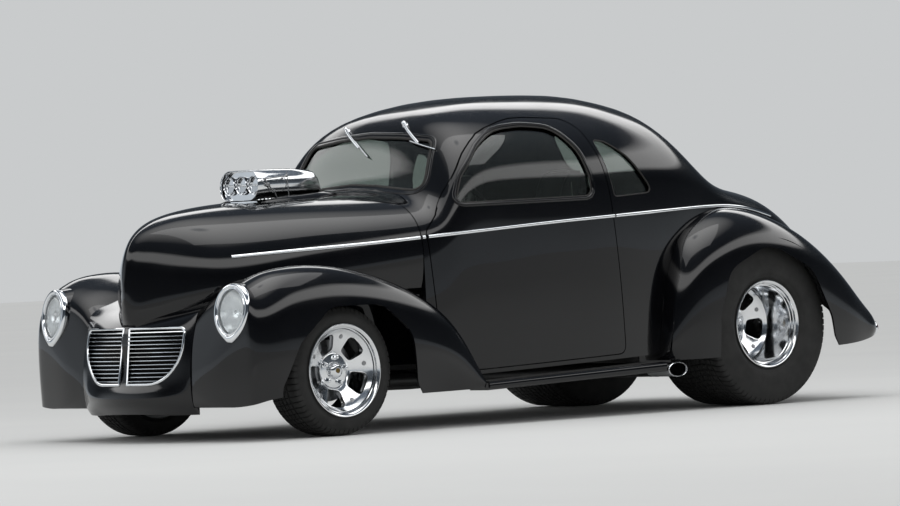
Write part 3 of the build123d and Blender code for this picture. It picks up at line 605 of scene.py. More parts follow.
# Front and rear glass, seen from the front as (y, z, corner radius)
WINDSCREEN = (
    (-480, 1064, 55), (0, 1118, 1600), (480, 1064, 55), (425, 1296, 60), (0, 1338, 2400),
    (-425, 1296, 60),
)
REAR_WINDOW = ((-400, 1130, 70), (400, 1130, 70), (330, 1345, 90), (-330, 1345, 90))
LID_OUTLINE = ((-1230, -395, 70), (-1230, 395, 70), (-1984, 235, 80), (-1984, -235, 80))
FRONT_AXLE_X, REAR_AXLE_X = 1430, -1161
FRONT_TYRE_R, REAR_TYRE_R = 288, 381
TUB_R, ARCH_IN, ARCH_OUT, ARCH_FOOT_Z = REAR_TYRE_R + 24, 358, 900, 100
# How far each cutting tool reaches along the direction that it is seen from
SIDE_REACH, LID_REACH = (250, 950), (480, 1280)
SCREEN_REACH, REAR_WINDOW_REACH = (430, 1330), (-1250, -700)


def side_pair(name, corners, grow=0.0):
    return (
        plain_tool(name + "_left", corners, seen_from_side, SIDE_REACH, grow),
        plain_tool(name + "_right", corners, seen_from_right, SIDE_REACH, grow),
    )


def tunnel_tool(name, radius, reach):
    """A tunnel across the car over the rear axle, with straight sides down to its foot."""
    corners = [
        (REAR_AXLE_X + radius * math.cos(a), REAR_TYRE_R + radius * math.sin(a), 0)
        for a in np.linspace(0, math.pi, 40)
    ]
    corners += [(REAR_AXLE_X + side * radius, ARCH_FOOT_Z, 0) for side in (-1, 1)]
    return plain_tool(name, corners, seen_from_side, reach)


door_holes = side_pair("door_hole", DOOR_OUTLINE, PANEL_GAP)
door_cuts = side_pair("door_cut", DOOR_OUTLINE)
door_windows = side_pair("door_window", DOOR_WINDOW)
quarter_windows = side_pair("quarter_window", QUARTER_WINDOW)
lid_hole = plain_tool("lid_hole", LID_OUTLINE, seen_from_above, LID_REACH, PANEL_GAP)
lid_cut = plain_tool("lid_cut", LID_OUTLINE, seen_from_above, LID_REACH)
screen_hole = plain_tool("screen_hole", WINDSCREEN, seen_from_front, SCREEN_REACH)
rear_hole = plain_tool("rear_hole", REAR_WINDOW, seen_from_front, REAR_WINDOW_REACH)
arch_holes = [
    tunnel_tool("arch_left", TUB_R + SEAM, (ARCH_IN, ARCH_OUT)),
    tunnel_tool("arch_right", TUB_R + SEAM, (-ARCH_OUT, -ARCH_IN)),
]
print("cutting tools", len(tools))


# %% Cut the cabin, doors and lid
def body_panel(name, steps, body, node):
    """A painted panel that is cut from the body's wall."""
    made = carve(name, outer_body, less(inner_body) + steps)
    smooth_from(made, [outer_skin, inner_skin])
    return finish_piece(made, name, "black_paint", [node], body=body)


cabin_holes = (*door_holes, *quarter_windows, lid_hole, screen_hole, rear_hole, *arch_holes)
body_panel("cabin_skin", less(*cabin_holes), "car_body", "cabin_shell")
for side, cut, window in zip(SIDES, door_cuts, door_windows):
    door = f"door_{side}"
    body_panel(f"door_skin_{side}", [("INTERSECT", cut), *less(window)], door, door)
body_panel("trunk_lid_skin", [("INTERSECT", lid_cut)], "trunk_lid", "trunk_lid")
tell("panels")

# %% Glass
glass_grids = [
    body_grid(GLASS_INSET, drop=10, ahead=5, spacing=30),
    body_grid(GLASS_INSET + GLASS_THICK, INNER_DROP, ahead=20, spacing=30),
]
glass_skins = [Skin(g) for g in glass_grids]
glass_outer, glass_inner = (tool_volume(f"glass_{i}", g) for i, g in enumerate(glass_grids))


def pane(name, hole, body, node):
    made = carve(name, glass_outer, less(glass_inner) + [("INTERSECT", hole)])
    smooth_from(made, glass_skins)
    finish_piece(made, name, "tinted_glass", [node], body=body)


for side, window, quarter in zip(SIDES, door_windows, quarter_windows):
    pane(f"door_pane_{side}", window, f"door_{side}", f"door_glass_{side}")
    pane(f"quarter_pane_{side}", quarter, "car_body", "fixed_glass")
pane("windscreen_pane", screen_hole, "car_body", "fixed_glass")
pane("rear_pane", rear_hole, "car_body", "fixed_glass")
tell("glass")

# %% [markdown]
# ## Hood, nose and fenders

# %% Hood sections
HOOD_REAR_X = 816
# Hood skin, from the prow to the cowl
# x, lower edge height, lower half width, side height, side half width, crown height, fullness
HOOD_SECTIONS = (
    (2038, 618, 6, 650, 10, 708, 1.8),
    (2028, 548, 26, 610, 36, 786, 1.75),
    (2010, 512, 56, 600, 70, 845, 1.75),
    (1975, 534, 112, 615, 122, 900, 1.8),
    (1900, 578, 212, 635, 222, 955, 1.95),
    (1790, 606, 318, 655, 330, 998, 2.1),
    (1600, 620, 412, 670, 424, 1034, 2.25),
    (1380, 622, 478, 690, 490, 1052, 2.45),
    (1100, 626, 552, 715, 566, 1062, 2.7),
    (HOOD_REAR_X, 632, 604, 740, 621, 1066, 3.0),
)
# Raised blister round the scoop: x, half width, top height; it is open at the rear
BLISTER_SECTIONS = (
    (1425, 160, 1046), (1300, 178, 1072), (1100, 174, 1086), (985, 160, 1092), (882, 138, 1088),
)
# Hole for the scoop, seen from above as (x, y, corner radius)
SCOOP_HOLE = (
    (926, -112, 20), (926, 112, 20), (1010, 134, 0), (1130, 145, 0), (1436, 160, 60),
    (1436, -160, 60), (1130, -145, 0), (1010, -134, 0),
)
BLISTER_BASE_Z, BLISTER_FULLNESS, BLISTER_THICK = 985, 4.5, 8
BLISTER_ANGLES = (0, 12, 24, 36, 50, 70)
PANEL_THICK, HOOD_BULGE, HOOD_ANGLES = 12, 2, (12, 24, 36, 48, 60, 74)
SCOOP_HOLE_REACH = (900, 1300)


def hood_profile(section, inset, drop):
    return mirror_half(dense(half_profile(section, inset, drop, HOOD_BULGE, HOOD_ANGLES), 4))


def hood_grid(inset=0, drop=0, front=0, rear=0, spacing=22):
    """The hood's skin; inside, it starts behind the prow."""
    rows = HOOD_SECTIONS[2:] if inset > 0 else HOOD_SECTIONS
    return skin_grid(rows, hood_profile, inset, drop, spacing, front, rear)


def blister_profile(section, inset, _):
    _, half, top = section
    rise = top - inset - BLISTER_BASE_Z
    side = [super_point(half - inset, rise, BLISTER_FULLNESS, a) for a in BLISTER_ANGLES]
    return dense(mirror_half(side + [(0, rise)])) + (0, BLISTER_BASE_Z)


hood_grids = [hood_grid(), hood_grid(PANEL_THICK, INNER_DROP, front=-2, rear=-20, spacing=30)]
blister_grids = [
    skin_grid(BLISTER_SECTIONS, blister_profile, inset, 0, spacing=20, rear=rear)
    for inset, rear in ((0, 0), (BLISTER_THICK, -1))
]
hood_volumes = [tool_volume(f"hood_volume_{i}", g) for i, g in enumerate(hood_grids)]
blister_volumes = [tool_volume(f"blister_volume_{i}", g) for i, g in enumerate(blister_grids)]
grown_hood = tool_volume("grown_hood", hood_grid(-PANEL_GAP, PANEL_GAP, PANEL_GAP, -PANEL_GAP))
scoop_hole = plain_tool("scoop_hole", SCOOP_HOLE, seen_from_above, SCOOP_HOLE_REACH)
hood_cuts = less(scoop_hole, hood_volumes[1], blister_volumes[1])
hood = carve("hood_skin", hood_volumes[0], [("UNION", blister_volumes[0]), *hood_cuts])
smooth_from(hood, [Skin(g) for g in hood_grids + blister_grids])
finish_piece(hood, "hood_skin", "black_paint", ["hood"], body="hood")
tell("hood")

# %% Nose panel
# Nose panel below the hood, as plan sections, which start with its rolled lower edge
# height, foremost x on the centre line, x at the side
NOSE_SECTIONS = (
    (122, 2040, 1950), (156, 2074, 1976), (204, 2089, 1987), (258, 2066, 1990), (400, 2046, 1977),
    (500, 2031, 1955), (543, 1985, 1943), (582, 1880, 1915), (616, 1760, 1830), (650, 1600, 1700),
)
# Left half of the grille opening, seen from the front as (y, z, corner radius)
GRILLE_OUTLINE = (
    (25, 256, 8), (238, 256, 200), (347, 375, 200), (347, 510, 34), (17, 510, 8),
)
NOSE_HALF_WIDTH, NOSE_BACK_X, NOSE_POINTS = 385, 1560, 33
PAN_HIGH_Z, PAN_BACK_X = 215, 1944
GRILLE_REACH = (1800, 2200)


def nose_grid(inset=0, deeper=0):
    """Plan rings of the nose, each bowed forward to the centre line."""
    across = np.linspace(-1, 1, NOSE_POINTS)
    rings = []
    for number, (z, x_front, x_side) in enumerate(NOSE_SECTIONS):
        x = x_side - inset + (x_front - x_side) * (1 - across ** 2)
        z = float(z if number else z - deeper)
        y = across * (NOSE_HALF_WIDTH - inset)
        rings.append(np.column_stack([x, y, np.full(NOSE_POINTS, z)]))
    return grid_over(rings, 14)


def with_back(grid, x_back):
    """Close each plan ring of the nose across its back."""
    left, right_end = grid[:, :1].copy(), grid[:, -1:].copy()
    left[..., 0] = right_end[..., 0] = np.where(left[..., 2] < PAN_HIGH_Z, PAN_BACK_X, x_back)
    return np.concatenate([grid, right_end, left], axis=1)


nose_grids = [nose_grid(), nose_grid(PANEL_THICK, deeper=30)]
nose_outer = tool_volume("nose_outer", with_back(nose_grids[0], NOSE_BACK_X))
nose_inner = tool_volume("nose_inner", with_back(nose_grids[1], NOSE_BACK_X - 30))
grown_nose = tool_volume("grown_nose", with_back(nose_grid(-SEAM, deeper=10), NOSE_BACK_X - 10))
grille_holes = [
    plain_tool(
        f"grille_hole_{sign}", [(y * sign, z, radius) for y, z, radius in GRILLE_OUTLINE],
        seen_from_front, GRILLE_REACH,
    )
    for sign in (1, -1)
]
nose = carve("nose_skin", nose_outer, less(nose_inner, grown_hood, *grille_holes))
smooth_from(nose, [Skin(g) for g in nose_grids])
finish_piece(nose, "nose_skin", "black_paint", ["nose_panel"])
tell("nose")

# %% Front fender sections
# Left front fender, from its domed end beside the nose to the running board
# x, inner y, inner height, crest y, crest height, outer y, outer height, bottom height
FRONT_FENDER_SECTIONS = (
    (1985, 386, 275, 405, 278, 425, 262, 225),
    (1981, 386, 345, 460, 352, 520, 305, 178),
    (1974, 386, 402, 515, 412, 590, 350, 158),
    (1964, 386, 455, 570, 475, 662, 385, 153),
    (1952, 386, 503, 622, 560, 738, 400, 158),
    (1934, 386, 545, 640, 640, 786, 400, 166),
    (1900, 386, 575, 645, 678, 812, 400, 177),
    (1855, 386, 596, 648, 706, 828, 400, 186),
    (1790, 386, 612, 655, 733, 837, 400, 190),
    (1710, 386, 622, 662, 749, 840, 400, 165),
    (1568, 400, 618, 672, 757, 842, 400, 165),
    (1315, 460, 616, 685, 728, 842, 400, 165),
    (1092, 520, 612, 695, 664, 838, 370, 165),
    (900, 545, 545, 705, 572, 826, 330, 166),
    (780, 550, 462, 715, 475, 812, 290, 167),
    (690, 560, 345, 720, 352, 800, 235, 168),
    (622, 580, 222, 725, 225, 792, 190, 169),
)
ARCH_FULLNESS, ARCH_ANGLES, FLANK_FULLNESS, FLANK_ANGLES = 2.35, (68, 46, 24), 1.35, (30, 60)
# Least height of the crest over the widest point; how far the foot of a fender tucks in
LEAST_RISE, FOOT_TUCK, REAR_FOOT_TUCK, INNER_WALL = 8, 10, 12, 60
FRONT_ARCH_REACH, REAR_ARCH_REACH, REAR_TUB_REACH = (557, 1000), (700, 1000), (300, 840)
ARCH_FRONT = (
    (FRONT_AXLE_X + 398, 60, 0), (FRONT_AXLE_X + 398, 230, 60), (FRONT_AXLE_X + 300, 420, 150),
    (FRONT_AXLE_X + 110, 572, 130), (FRONT_AXLE_X - 190, 572, 150), (FRONT_AXLE_X - 350, 440, 130),
    (FRONT_AXLE_X - 380, 218, 80), (FRONT_AXLE_X - 418, 166, 45), (FRONT_AXLE_X - 440, 60, 0),
)
# The flank tucks in below its crease, most of all at the middle station
TUCK, TUCK_MIDDLE_X, TUCK_REACH = 24, 960, 250


def front_fender_profile(section, inset, drop):
    x, y_in, z_in, y_crest, z_crest, y_out, z_out, z_low = section
    y_out, z_crest, z_in, z_low = y_out - inset, z_crest - inset, z_in - inset, z_low - drop
    z_out = min(z_out, z_crest - LEAST_RISE)
    profile = [(y_in, z_in)]
    for degrees in FLANK_ANGLES:
        y, z = super_point(y_crest - y_in, z_crest - z_in, FLANK_FULLNESS, degrees)
        profile.append((y_crest - y, z_in + z))
    profile.append((y_crest, z_crest))
    for degrees in ARCH_ANGLES:
        y, z = super_point(y_out - y_crest, z_crest - z_out, ARCH_FULLNESS, degrees)
        profile.append((y_crest + y, z_out + z))
    tuck = TUCK * max(0.0, 1 - abs(x - TUCK_MIDDLE_X) / TUCK_REACH)
    middle = (y_out - 2 - tuck / 2, (z_out + z_low) / 2)
    profile += [(y_out, z_out), middle, (y_out - FOOT_TUCK - tuck, z_low)]
    return dense(profile, 4)


def under(grid, further_in):
    """Close each fender ring along its underside and its inner side."""
    low, high = grid[:, -1:].copy(), grid[:, :1].copy()
    low[..., 1] = high[..., 1] = grid[:, :1, 1] - further_in
    return np.concatenate([grid, low, high] if further_in else [grid, low], axis=1)


# %% Cut the front fenders
LAMP_PLACE = Vector((1946, 640, 562))
LAMP_AHEAD = Vector((1, 0.14, 0.15)).normalized()
LAMP_SIDE = Vector((-0.14, 1, 0))
LAMP_LEFT = (LAMP_SIDE - LAMP_AHEAD * LAMP_SIDE.dot(LAMP_AHEAD)).normalized()
LAMP_UP = LAMP_AHEAD.cross(LAMP_LEFT)
# Outline of the lamp as (left, up), round from the two ends of its flat foot
LAMP_CORNERS = (
    (-14, -130), (-78, -72), (-105, 14), (-76, 98), (0, 132), (76, 98), (105, 14), (78, -72),
    (14, -130),
)
LAMP_HOLE_REACH = (-90, 60)


def lamp_place(u, v, depth):
    """A place on the left lamp, in millimetres: u left, v up, depth ahead."""
    return tuple(LAMP_PLACE + LAMP_LEFT * u + LAMP_UP * v + LAMP_AHEAD * depth)


def lamp_outline(grow=0.0):
    """The teardrop outline of the lamp: splines round its sides, and a short flat foot."""
    line = [Vector(p) for p in dense(LAMP_CORNERS, 5)]
    grown = []
    for i, here in enumerate(line):
        ahead = (line[(i + 1) % len(line)] - line[i - 1]).normalized()
        grown.append(here + Vector((-ahead.y, ahead.x)) * grow)
    return grown


def fender_volumes(name, grids):
    """The outer and the inner volume of a fender."""
    return [
        tool_volume(f"{name}_volume_{i}", under(grid, further_in))
        for i, (grid, further_in) in enumerate(zip(grids, (0, INNER_WALL)))
    ]


def place_fenders(left, grids, name):
    """Finish a left fender and its mirror image, which has the same corner normals."""
    smooth_from(left, [Skin(g) for g in grids])
    right = mirrored_copy(left, f"{name}_skin_right")
    normals = []
    for face in left.data.polygons:
        corners = [left.data.corner_normals[i].vector for i in face.loop_indices][::-1]
        normals += [(n.x, -n.y, n.z) for n in corners]
    for face in right.data.polygons:
        face.use_smooth = True
    right.data.normals_split_custom_set(normals)
    for side, made in zip(SIDES, (left, right)):
        finish_piece(made, f"{name}_skin_{side}", "black_paint", [f"{name}_{side}"])
    tell(name)


front_grids = [
    skin_grid(FRONT_FENDER_SECTIONS, front_fender_profile, 0, 0, spacing=20),
    skin_grid(
        FRONT_FENDER_SECTIONS[4:], front_fender_profile, PANEL_THICK, INNER_DROP,
        spacing=30, front=-PANEL_THICK, rear=-INNER_DROP,
    ),
]
front_outer, front_inner = fender_volumes("front_fender", front_grids)
front_arch = plain_tool("front_arch", ARCH_FRONT, seen_from_side, FRONT_ARCH_REACH)
lamp_hole = tool_volume("lamp_hole", np.array([
    [lamp_place(p.x, p.y, depth) for p in lamp_outline(SEAM)] for depth in LAMP_HOLE_REACH
]))
front_cuts = (front_arch, grown_hood, grown_body, grown_nose, lamp_hole, front_inner)
place_fenders(
    carve("front_fender_skin_left", front_outer, less(*front_cuts)), front_grids, "front_fender"
)

# %% Rear fenders
# Left rear fender, from its leading edge to the tail
# x, inner y, top height, outer y, outer height, bottom height
REAR_FENDER_SECTIONS = (
    (-558, 600, 352, 740, 300, 238),
    (-572, 600, 500, 775, 340, 238),
    (-605, 600, 640, 812, 400, 238),
    (-680, 600, 790, 850, 480, 238),
    (-800, 590, 878, 868, 540, 240),
    (-966, 575, 932, 876, 580, 240),
    (-1161, 550, 930, 878, 580, 250),
    (-1360, 500, 880, 874, 545, 256),
    (-1540, 440, 797, 860, 475, 259),
    (-1706, 400, 662, 838, 400, 267),
    (-1830, 410, 518, 808, 352, 282),
    (-1890, 470, 437, 788, 336, 296),
    (-1925, 560, 372, 760, 322, 310),
)
ARCH_REAR = (
    (-786, 60, 0), (-790, 430, 60), (-860, 648, 150), (-1130, 762, 230), (-1400, 632, 160),
    (-1530, 400, 120), (-1552, 306, 60), (-1588, 256, 45), (-1606, 60, 0),
)
REAR_FULLNESS, REAR_ANGLES = 2.6, (72, 54, 38, 20)


def rear_fender_profile(section, inset, drop):
    _, y_in, z_top, y_out, z_out, z_low = section
    y_out, z_top, z_low = y_out - inset, z_top - inset, z_low - drop
    z_out = min(z_out, z_top - LEAST_RISE)
    profile = [(y_in, z_top)]
    for degrees in REAR_ANGLES:
        y, z = super_point(y_out - y_in, z_top - z_out, REAR_FULLNESS, degrees)
        profile.append((y_in + y, z_out + z))
    profile += [(y_out, z_out), (y_out - 2, (z_out + z_low) / 2), (y_out - REAR_FOOT_TUCK, z_low)]
    return dense(profile, 4)


rear_grids = [
    skin_grid(REAR_FENDER_SECTIONS, rear_fender_profile, 0, 0, spacing=20),
    skin_grid(
        REAR_FENDER_SECTIONS, rear_fender_profile, PANEL_THICK, INNER_DROP,
        spacing=30, front=-PANEL_THICK, rear=PANEL_THICK,
    ),
]
rear_outer, rear_inner = fender_volumes("rear_fender", rear_grids)
rear_arch = plain_tool("rear_arch", ARCH_REAR, seen_from_side, REAR_ARCH_REACH)
rear_tub = tunnel_tool("rear_tub", TUB_R, REAR_TUB_REACH)
rear_cuts = (rear_inner, rear_arch, rear_tub, grown_body)
place_fenders(
    carve("rear_fender_skin_left", rear_outer, less(*rear_cuts)), rear_grids, "rear_fender"
)

# %% [markdown]
# ## Fittings
# Small parts are built as joined meshes: turned parts from profiles, strips and tubes swept
# along lines that lie on the skins, and lofts through outlines.

# %% Building blocks for fittings
LEAST_R = 0.01


def spun(profile, place, axis, steps):
    """An (axial, radius) profile at each of a number of steps about an axis through a place."""
    ahead = Vector(axis).normalized()
    side = ahead.orthogonal().normalized()
    other = ahead.cross(side)
    rings = []
    for k in range(steps):
        a = 2 * math.pi * k / steps
        out = side * math.cos(a) + other * math.sin(a)
        rings.append([Vector(place) + ahead * u + out * r for u, r in profile])
    return np.array(rings, float)


class Lump:
    """Points and faces of several solids that make one piece, in millimetres."""

    def __init__(self, verts=(), faces=()):
        self.verts, self.faces = list(verts), list(faces)

    def add(self, verts, faces):
        base = len(self.verts)
        self.verts += [tuple(v) for v in verts]
        self.faces += [tuple(int(i) + base for i in face) for face in faces]

    def rings(self, rings, caps=True):
        """Join closed rings of points into a tube, with or without its ends."""
        rings = np.asarray(rings, float)
        self.add(rings.reshape(-1, 3), tube_faces(*rings.shape[:2], caps))

    def loop(self, rings):
        """Join rings into a torus: the last ring meets the first."""
        rings = np.asarray(rings, float)
        self.add(rings.reshape(-1, 3), quads_of(*rings.shape[:2], True, True))

    def turned(self, profile, place=(0, 0, 0), axis=(0, 1, 0), steps=48):
        """Turn an (axial, radius) outline, closed on itself, about an axis through a place."""
        self.loop(spun(profile, place, axis, steps))

    def disc(self, profile, place=(0, 0, 0), axis=(0, 1, 0), steps=48):
        """Turn an (axial, radius) line from the axis to the axis into a solid."""
        line = [(u, max(r, LEAST_R)) for u, r in profile]
        self.rings(spun(line, place, axis, steps).swapaxes(0, 1))

    def made(self, name, sharp=35):
        """An object with smooth shading, but edges over a number of degrees stay sharp."""
        piece = outward(mesh_object(name, np.array(self.verts) * MM, self.faces))
        for face in piece.data.polygons:
            face.use_smooth = True
        piece.data.set_sharp_from_angle(angle=math.radians(sharp))
        return piece

    def mirrored(self):
        return Lump([(x, -y, z) for x, y, z in self.verts], [face[::-1] for face in self.faces])

    def moved(self, offset):
        return Lump([tuple(Vector(v) + Vector(offset)) for v in self.verts], self.faces)


def sweep(lump, spots, outline, closed=False):
    """Sweep an (across, out) outline along spots, each a place and an outward normal."""
    path = [Vector(place) for place, _ in spots]
    rings = []
    last = len(path) - 1
    for i, (here, (_, normal)) in enumerate(zip(path, spots)):
        if closed:
            ahead = path[(i + 1) % len(path)] - path[i - 1]
        else:
            ahead = path[min(i + 1, last)] - path[max(i - 1, 0)]
        out = Vector(normal).normalized()
        across = ahead.normalized().cross(out).normalized()
        rings.append([here + across * u + out * v for u, v in outline])
    if closed:
        lump.loop(rings)
    else:
        lump.rings(rings)


def oval_outline(half_wide, half_high, sides=10, lift=0.0):
    angles = [2 * math.pi * k / sides for k in range(sides)]
    return [(half_wide * math.cos(a), lift + half_high * math.sin(a)) for a in angles]


def on_skin(skin, start, direction):
    """Where a ray in millimetres meets a skin, with the skin's outward normal."""
    place, _, index, _ = skin.tree.ray_cast(Vector(start) * MM, Vector(direction))
    if place is None:
        raise ValueError(f"no skin from {start} along {direction}")
    normal = skin.normal_at(place)
    if normal.dot(Vector(direction)) > 0:
        normal = -normal
    return place / MM, normal


def dense_line(points, step=20):
    """A smooth line through points with places about step apart."""
    points = np.asarray(points, float)
    params = chords(points)
    count = max(2, round(params[-1] / step))
    return natural_spline(params, points, np.linspace(0, params[-1], count + 1))


def place_piece(lump, name, slot, stands_for=(), sharp=35, finish=None, body="car_body"):
    """Finish one lump as a piece."""
    return finish_piece(lump.made(name, sharp), name, slot, stands_for, finish, body)


def place_pair(lump, name, *look, body="car_body"):
    """Finish a left lump and its mirror image; SIDE in the body's name is its side."""
    return [
        place_piece(one, f"{name}_{side}", *look, body=body.replace("SIDE", side))
        for side, one in zip(SIDES, (lump, lump.mirrored()))
    ]


# %% [markdown]
# ## Wheels
# Each rim is a turned barrel with a stepped lip, and a dished disc with five rounded windows,
# all bevelled. The disc slopes outward from a flat hub pad. The front ones are shallow and the
# rear ones very deep. The tyres are turned too, with ribs, and blocks cut across the shoulders.

# %% Rims
# name, axle x, centre y, radius, lip, disc depth, half tread, shoulder, outer bulge,
# inner bulge, inner bead, ribs, blocks round the tread, angle of the first window
WHEELS = (
    ("f", FRONT_AXLE_X, 661, FRONT_TYRE_R, 114, 78, 78, 98, 108, -99, -96, 5, 64, 62.4),
    ("r", REAR_AXLE_X, 602, REAR_TYRE_R, 194, 243, 186, 202, 212, -212, -190, 11, 76, 46.4),
)
BARREL_R, RIM_LIP_R, PAD_R, LUG_CIRCLE_R, RIVET_CIRCLE_R = 190, 206.5, 76, 60, 150
WINDOW_COUNT, DISH_SLOPE = 5, 0.42
WINDOW_CORNERS = ((85, -34, 20), (157, -56, 30), (167, 0, 400), (157, 56, 30), (85, 34, 20))
BEVEL_WIDTH, BEVEL_STEPS, BEVEL_ANGLE = 0.0045, 4, 40
# Profiles as (out from the hub pad, radius): a flared cap that narrows to a small nose, its
# centre, then washer, nut and stud with the steps round each, and a rivet with a sunk ring
CAP = (
    (-2, 0), (-2, 40), (3, 40), (5, 38), (14, 35.5), (21, 31), (26, 24), (28, 18), (28, 13),
    (24, 11.5), (24, 0),
)
CAP_CENTRE = ((23, 0), (23, 11), (26, 10), (26.5, 0))
LUG_NUT = (
    (24, ((-1, 0), (-1, 14), (2, 14), (3, 12.5), (3, 0))),
    (6, ((2, 0), (2, 11), (15, 10.6), (17, 9))),
    (16, ((15, 0), (15, 9), (20, 7), (22, 3))),
)
RIVET = ((-4, 0), (-4, 10.5), (0.6, 10.5), (1.2, 9.5), (0.3, 7.5), (0.3, 6), (2, 5), (2.4, 0))
BRASS = material(
    "aged_brass", {"Metallic": 1.0}, rough=(0.25, 0.4, 80), tint=("6f5c36", "857045", 20),
)


def barrel_profile(lip, inner_lip):
    """Closed outline of the barrel: bright inside, stepped lip, tyre seat, inner flange."""
    return [
        (inner_lip, 184), (inner_lip + 12, 181), (lip - 40, 179), (lip - 34, 180), (lip - 32, 184),
        (lip - 20, 185.5), (lip - 18, 189), (lip - 8, 190.5), (lip - 5, 194), (lip - 1.5, 198),
        (lip, 202), (lip - 1, 205.5), (lip - 4, 206.5), (lip - 7, 205.5), (lip - 9, 200),
        (lip - 10, 190.8), (inner_lip + 10, 190.8), (inner_lip + 8, 205), (inner_lip + 2, 206.5),
        (inner_lip, 203),
    ]


def dish_height(face, radius):
    """How far out the sloping part of the disc lies at a radius."""
    return face + (radius - PAD_R) * DISH_SLOPE


def disc_profile(face):
    """Half outline of the wheel's disc, from the axis in front to the axis behind."""
    slope = [(dish_height(face, r), r) for r in (84, 100, 120, 140, 158)]
    return [
        (face, 0), (face, 20), (face, 72), (face - 1.5, PAD_R), (face - 1, 79), *slope,
        (dish_height(face, 170) + 2, 170), (dish_height(face, 180.5) + 9, 180.5),
        (dish_height(face, 180.5) - 22, 180.5), (face - 18, 96), (face - 44, 66), (face - 44, 0),
    ]


def window_tool(face, number, start):
    """One rounded trapezoid opening through the disc."""
    angle = math.radians(start + number * 360 / WINDOW_COUNT)
    c, s = math.cos(angle), math.sin(angle)

    def turned(u, v, depth):
        return u * c - v * s, depth, u * s + v * c

    return prism("window_tool", WINDOW_CORNERS, turned, face - 60, face + 90)


def spoke_place(radius, number, start, depth):
    """A point on the middle line of a spoke, half way between two windows."""
    angle = math.radians(start + (number + 0.5) * 360 / WINDOW_COUNT)
    return radius * math.cos(angle), depth, radius * math.sin(angle)


def wheel_disc(face, start):
    """The windowed disc as a lump about the axle."""
    blank = Lump()
    blank.disc(disc_profile(face), steps=96)
    blank = blank.made("disc_blank")
    windows = [window_tool(face, number, start) for number in range(WINDOW_COUNT)]
    disc = carve("disc", blank, less(*windows))
    bevel = disc.modifiers.new("bevel", "BEVEL")
    bevel.width, bevel.segments, bevel.limit_method = BEVEL_WIDTH, BEVEL_STEPS, "ANGLE"
    bevel.angle_limit = math.radians(BEVEL_ANGLE)
    mesh = evaluated_mesh(disc)
    lump = Lump()
    lump.add([v.co / MM for v in mesh.vertices], [tuple(p.vertices) for p in mesh.polygons])
    for used in [blank, disc] + windows:
        bpy.data.objects.remove(used)
    return lump


def lug_nuts(face, start):
    lump = Lump()
    for number in range(WINDOW_COUNT):
        for steps, profile in LUG_NUT:
            lump.disc(profile, spoke_place(LUG_CIRCLE_R, number, start, face), steps=steps)
    return lump


def rivets(face, start):
    """Rivets near the spokes' ends, square to the sloping disc."""
    lump, height = Lump(), dish_height(face, RIVET_CIRCLE_R)
    for number in range(WINDOW_COUNT):
        place = Vector(spoke_place(RIVET_CIRCLE_R, number, start, height))
        inward = Vector((-place.x, 0, -place.z)).normalized()
        lump.disc(RIVET, place, Vector((0, 1, 0)) + inward * DISH_SLOPE, steps=24)
    return lump


# %% Tyres
# Down one side of a tyre: in from the shoulder, down from the tread, and whether blocks show;
# then shares of the wall's height with shares of the way out to its bulge and back to the bead
SHOULDER_STEPS = ((18.5, 4.5, 1), (9.5, 8, 1), (4.5, 14, 1), (1.5, 22, 1), (0, 27, 0))
WALL_STEPS = ((0.12, 0.45), (0.3, 0.8), (0.48, 0.97), (0.6, 1.0), (0.72, 0.96))
BEAD_STEPS = ((0.84, 0.25), (0.87, 0.45), (0.89, 0.48))
TREAD_MARGIN, CROWN_DROP, GROOVE_DEPTH, GROOVE_HALF, RIB_OVER = 12, 4.5, 8, 4, 3
# Share of a block's pitch and cut depth there, and how the cuts slant across the tread
BLOCK_STEPS = ((0.0, 0.0), (0.4, 0.0), (0.8, 0.0), (0.83, 7.0), (0.97, 7.0))
CUT_SLANT, CUT_WAVE = 0.35, 0.02


def tyre_points(radius, lip, bead_in, ribs, tread, shoulder, bulge_out, bulge_in):
    """(axial, radius, block) round the section; block is 1 where cross cuts go through."""
    flange = RIM_LIP_R + 4

    def side(bulge, bead, sign):
        rows = [((shoulder - u) * sign, radius - v, block) for u, v, block in SHOULDER_STEPS]
        start, top = shoulder * sign, radius - SHOULDER_STEPS[-1][1]
        for down, out in WALL_STEPS:
            rows.append((start + (bulge - start) * out, top - (top - flange) * down, 0))
        for down, inward in BEAD_STEPS:
            rows.append((bulge + (bead - bulge) * inward, top - (top - flange) * down, 0))
        return rows + [(bead, flange + 2, 0), (bead, flange - 5, 0)]

    crown = []
    width = 2 * (tread - TREAD_MARGIN)
    pitch = width / ribs
    for number in range(ribs):
        a = -width / 2 + pitch * number
        start = a + (GROOVE_HALF if number else -RIB_OVER)
        end = a + pitch - (GROOVE_HALF if number < ribs - 1 else -RIB_OVER)
        height = radius - CROWN_DROP * ((a + pitch / 2) / tread) ** 2
        crown += [(start, height, 1), (end, height, 1)]
        if number < ribs - 1:
            floor = height - GROOVE_DEPTH
            crown += [(end + 1, floor, 0), (end + 2 * GROOVE_HALF - 1, floor, 0)]
    seat = [(lip - 12, BARREL_R + 1, 0), (bead_in + 12, BARREL_R + 1, 0)]
    inner = side(bulge_in, bead_in + 10, -1)
    return crown + side(bulge_out, lip - 10, 1) + seat + inner[::-1]


def tyre_lump(section, blocks):
    """Turn a tyre section, with narrow cuts across the blocks."""
    rings = []
    pitch = 2 * math.pi / blocks
    for number in range(blocks):
        for share, cut_depth in BLOCK_STEPS:
            ring = []
            for axial, radius, block in section:
                a = (number + share + CUT_SLANT * math.sin(axial * CUT_WAVE)) * pitch
                r = radius - cut_depth * block
                ring.append((r * math.cos(a), axial, r * math.sin(a)))
            rings.append(ring)
    lump = Lump()
    lump.loop(rings)
    return lump


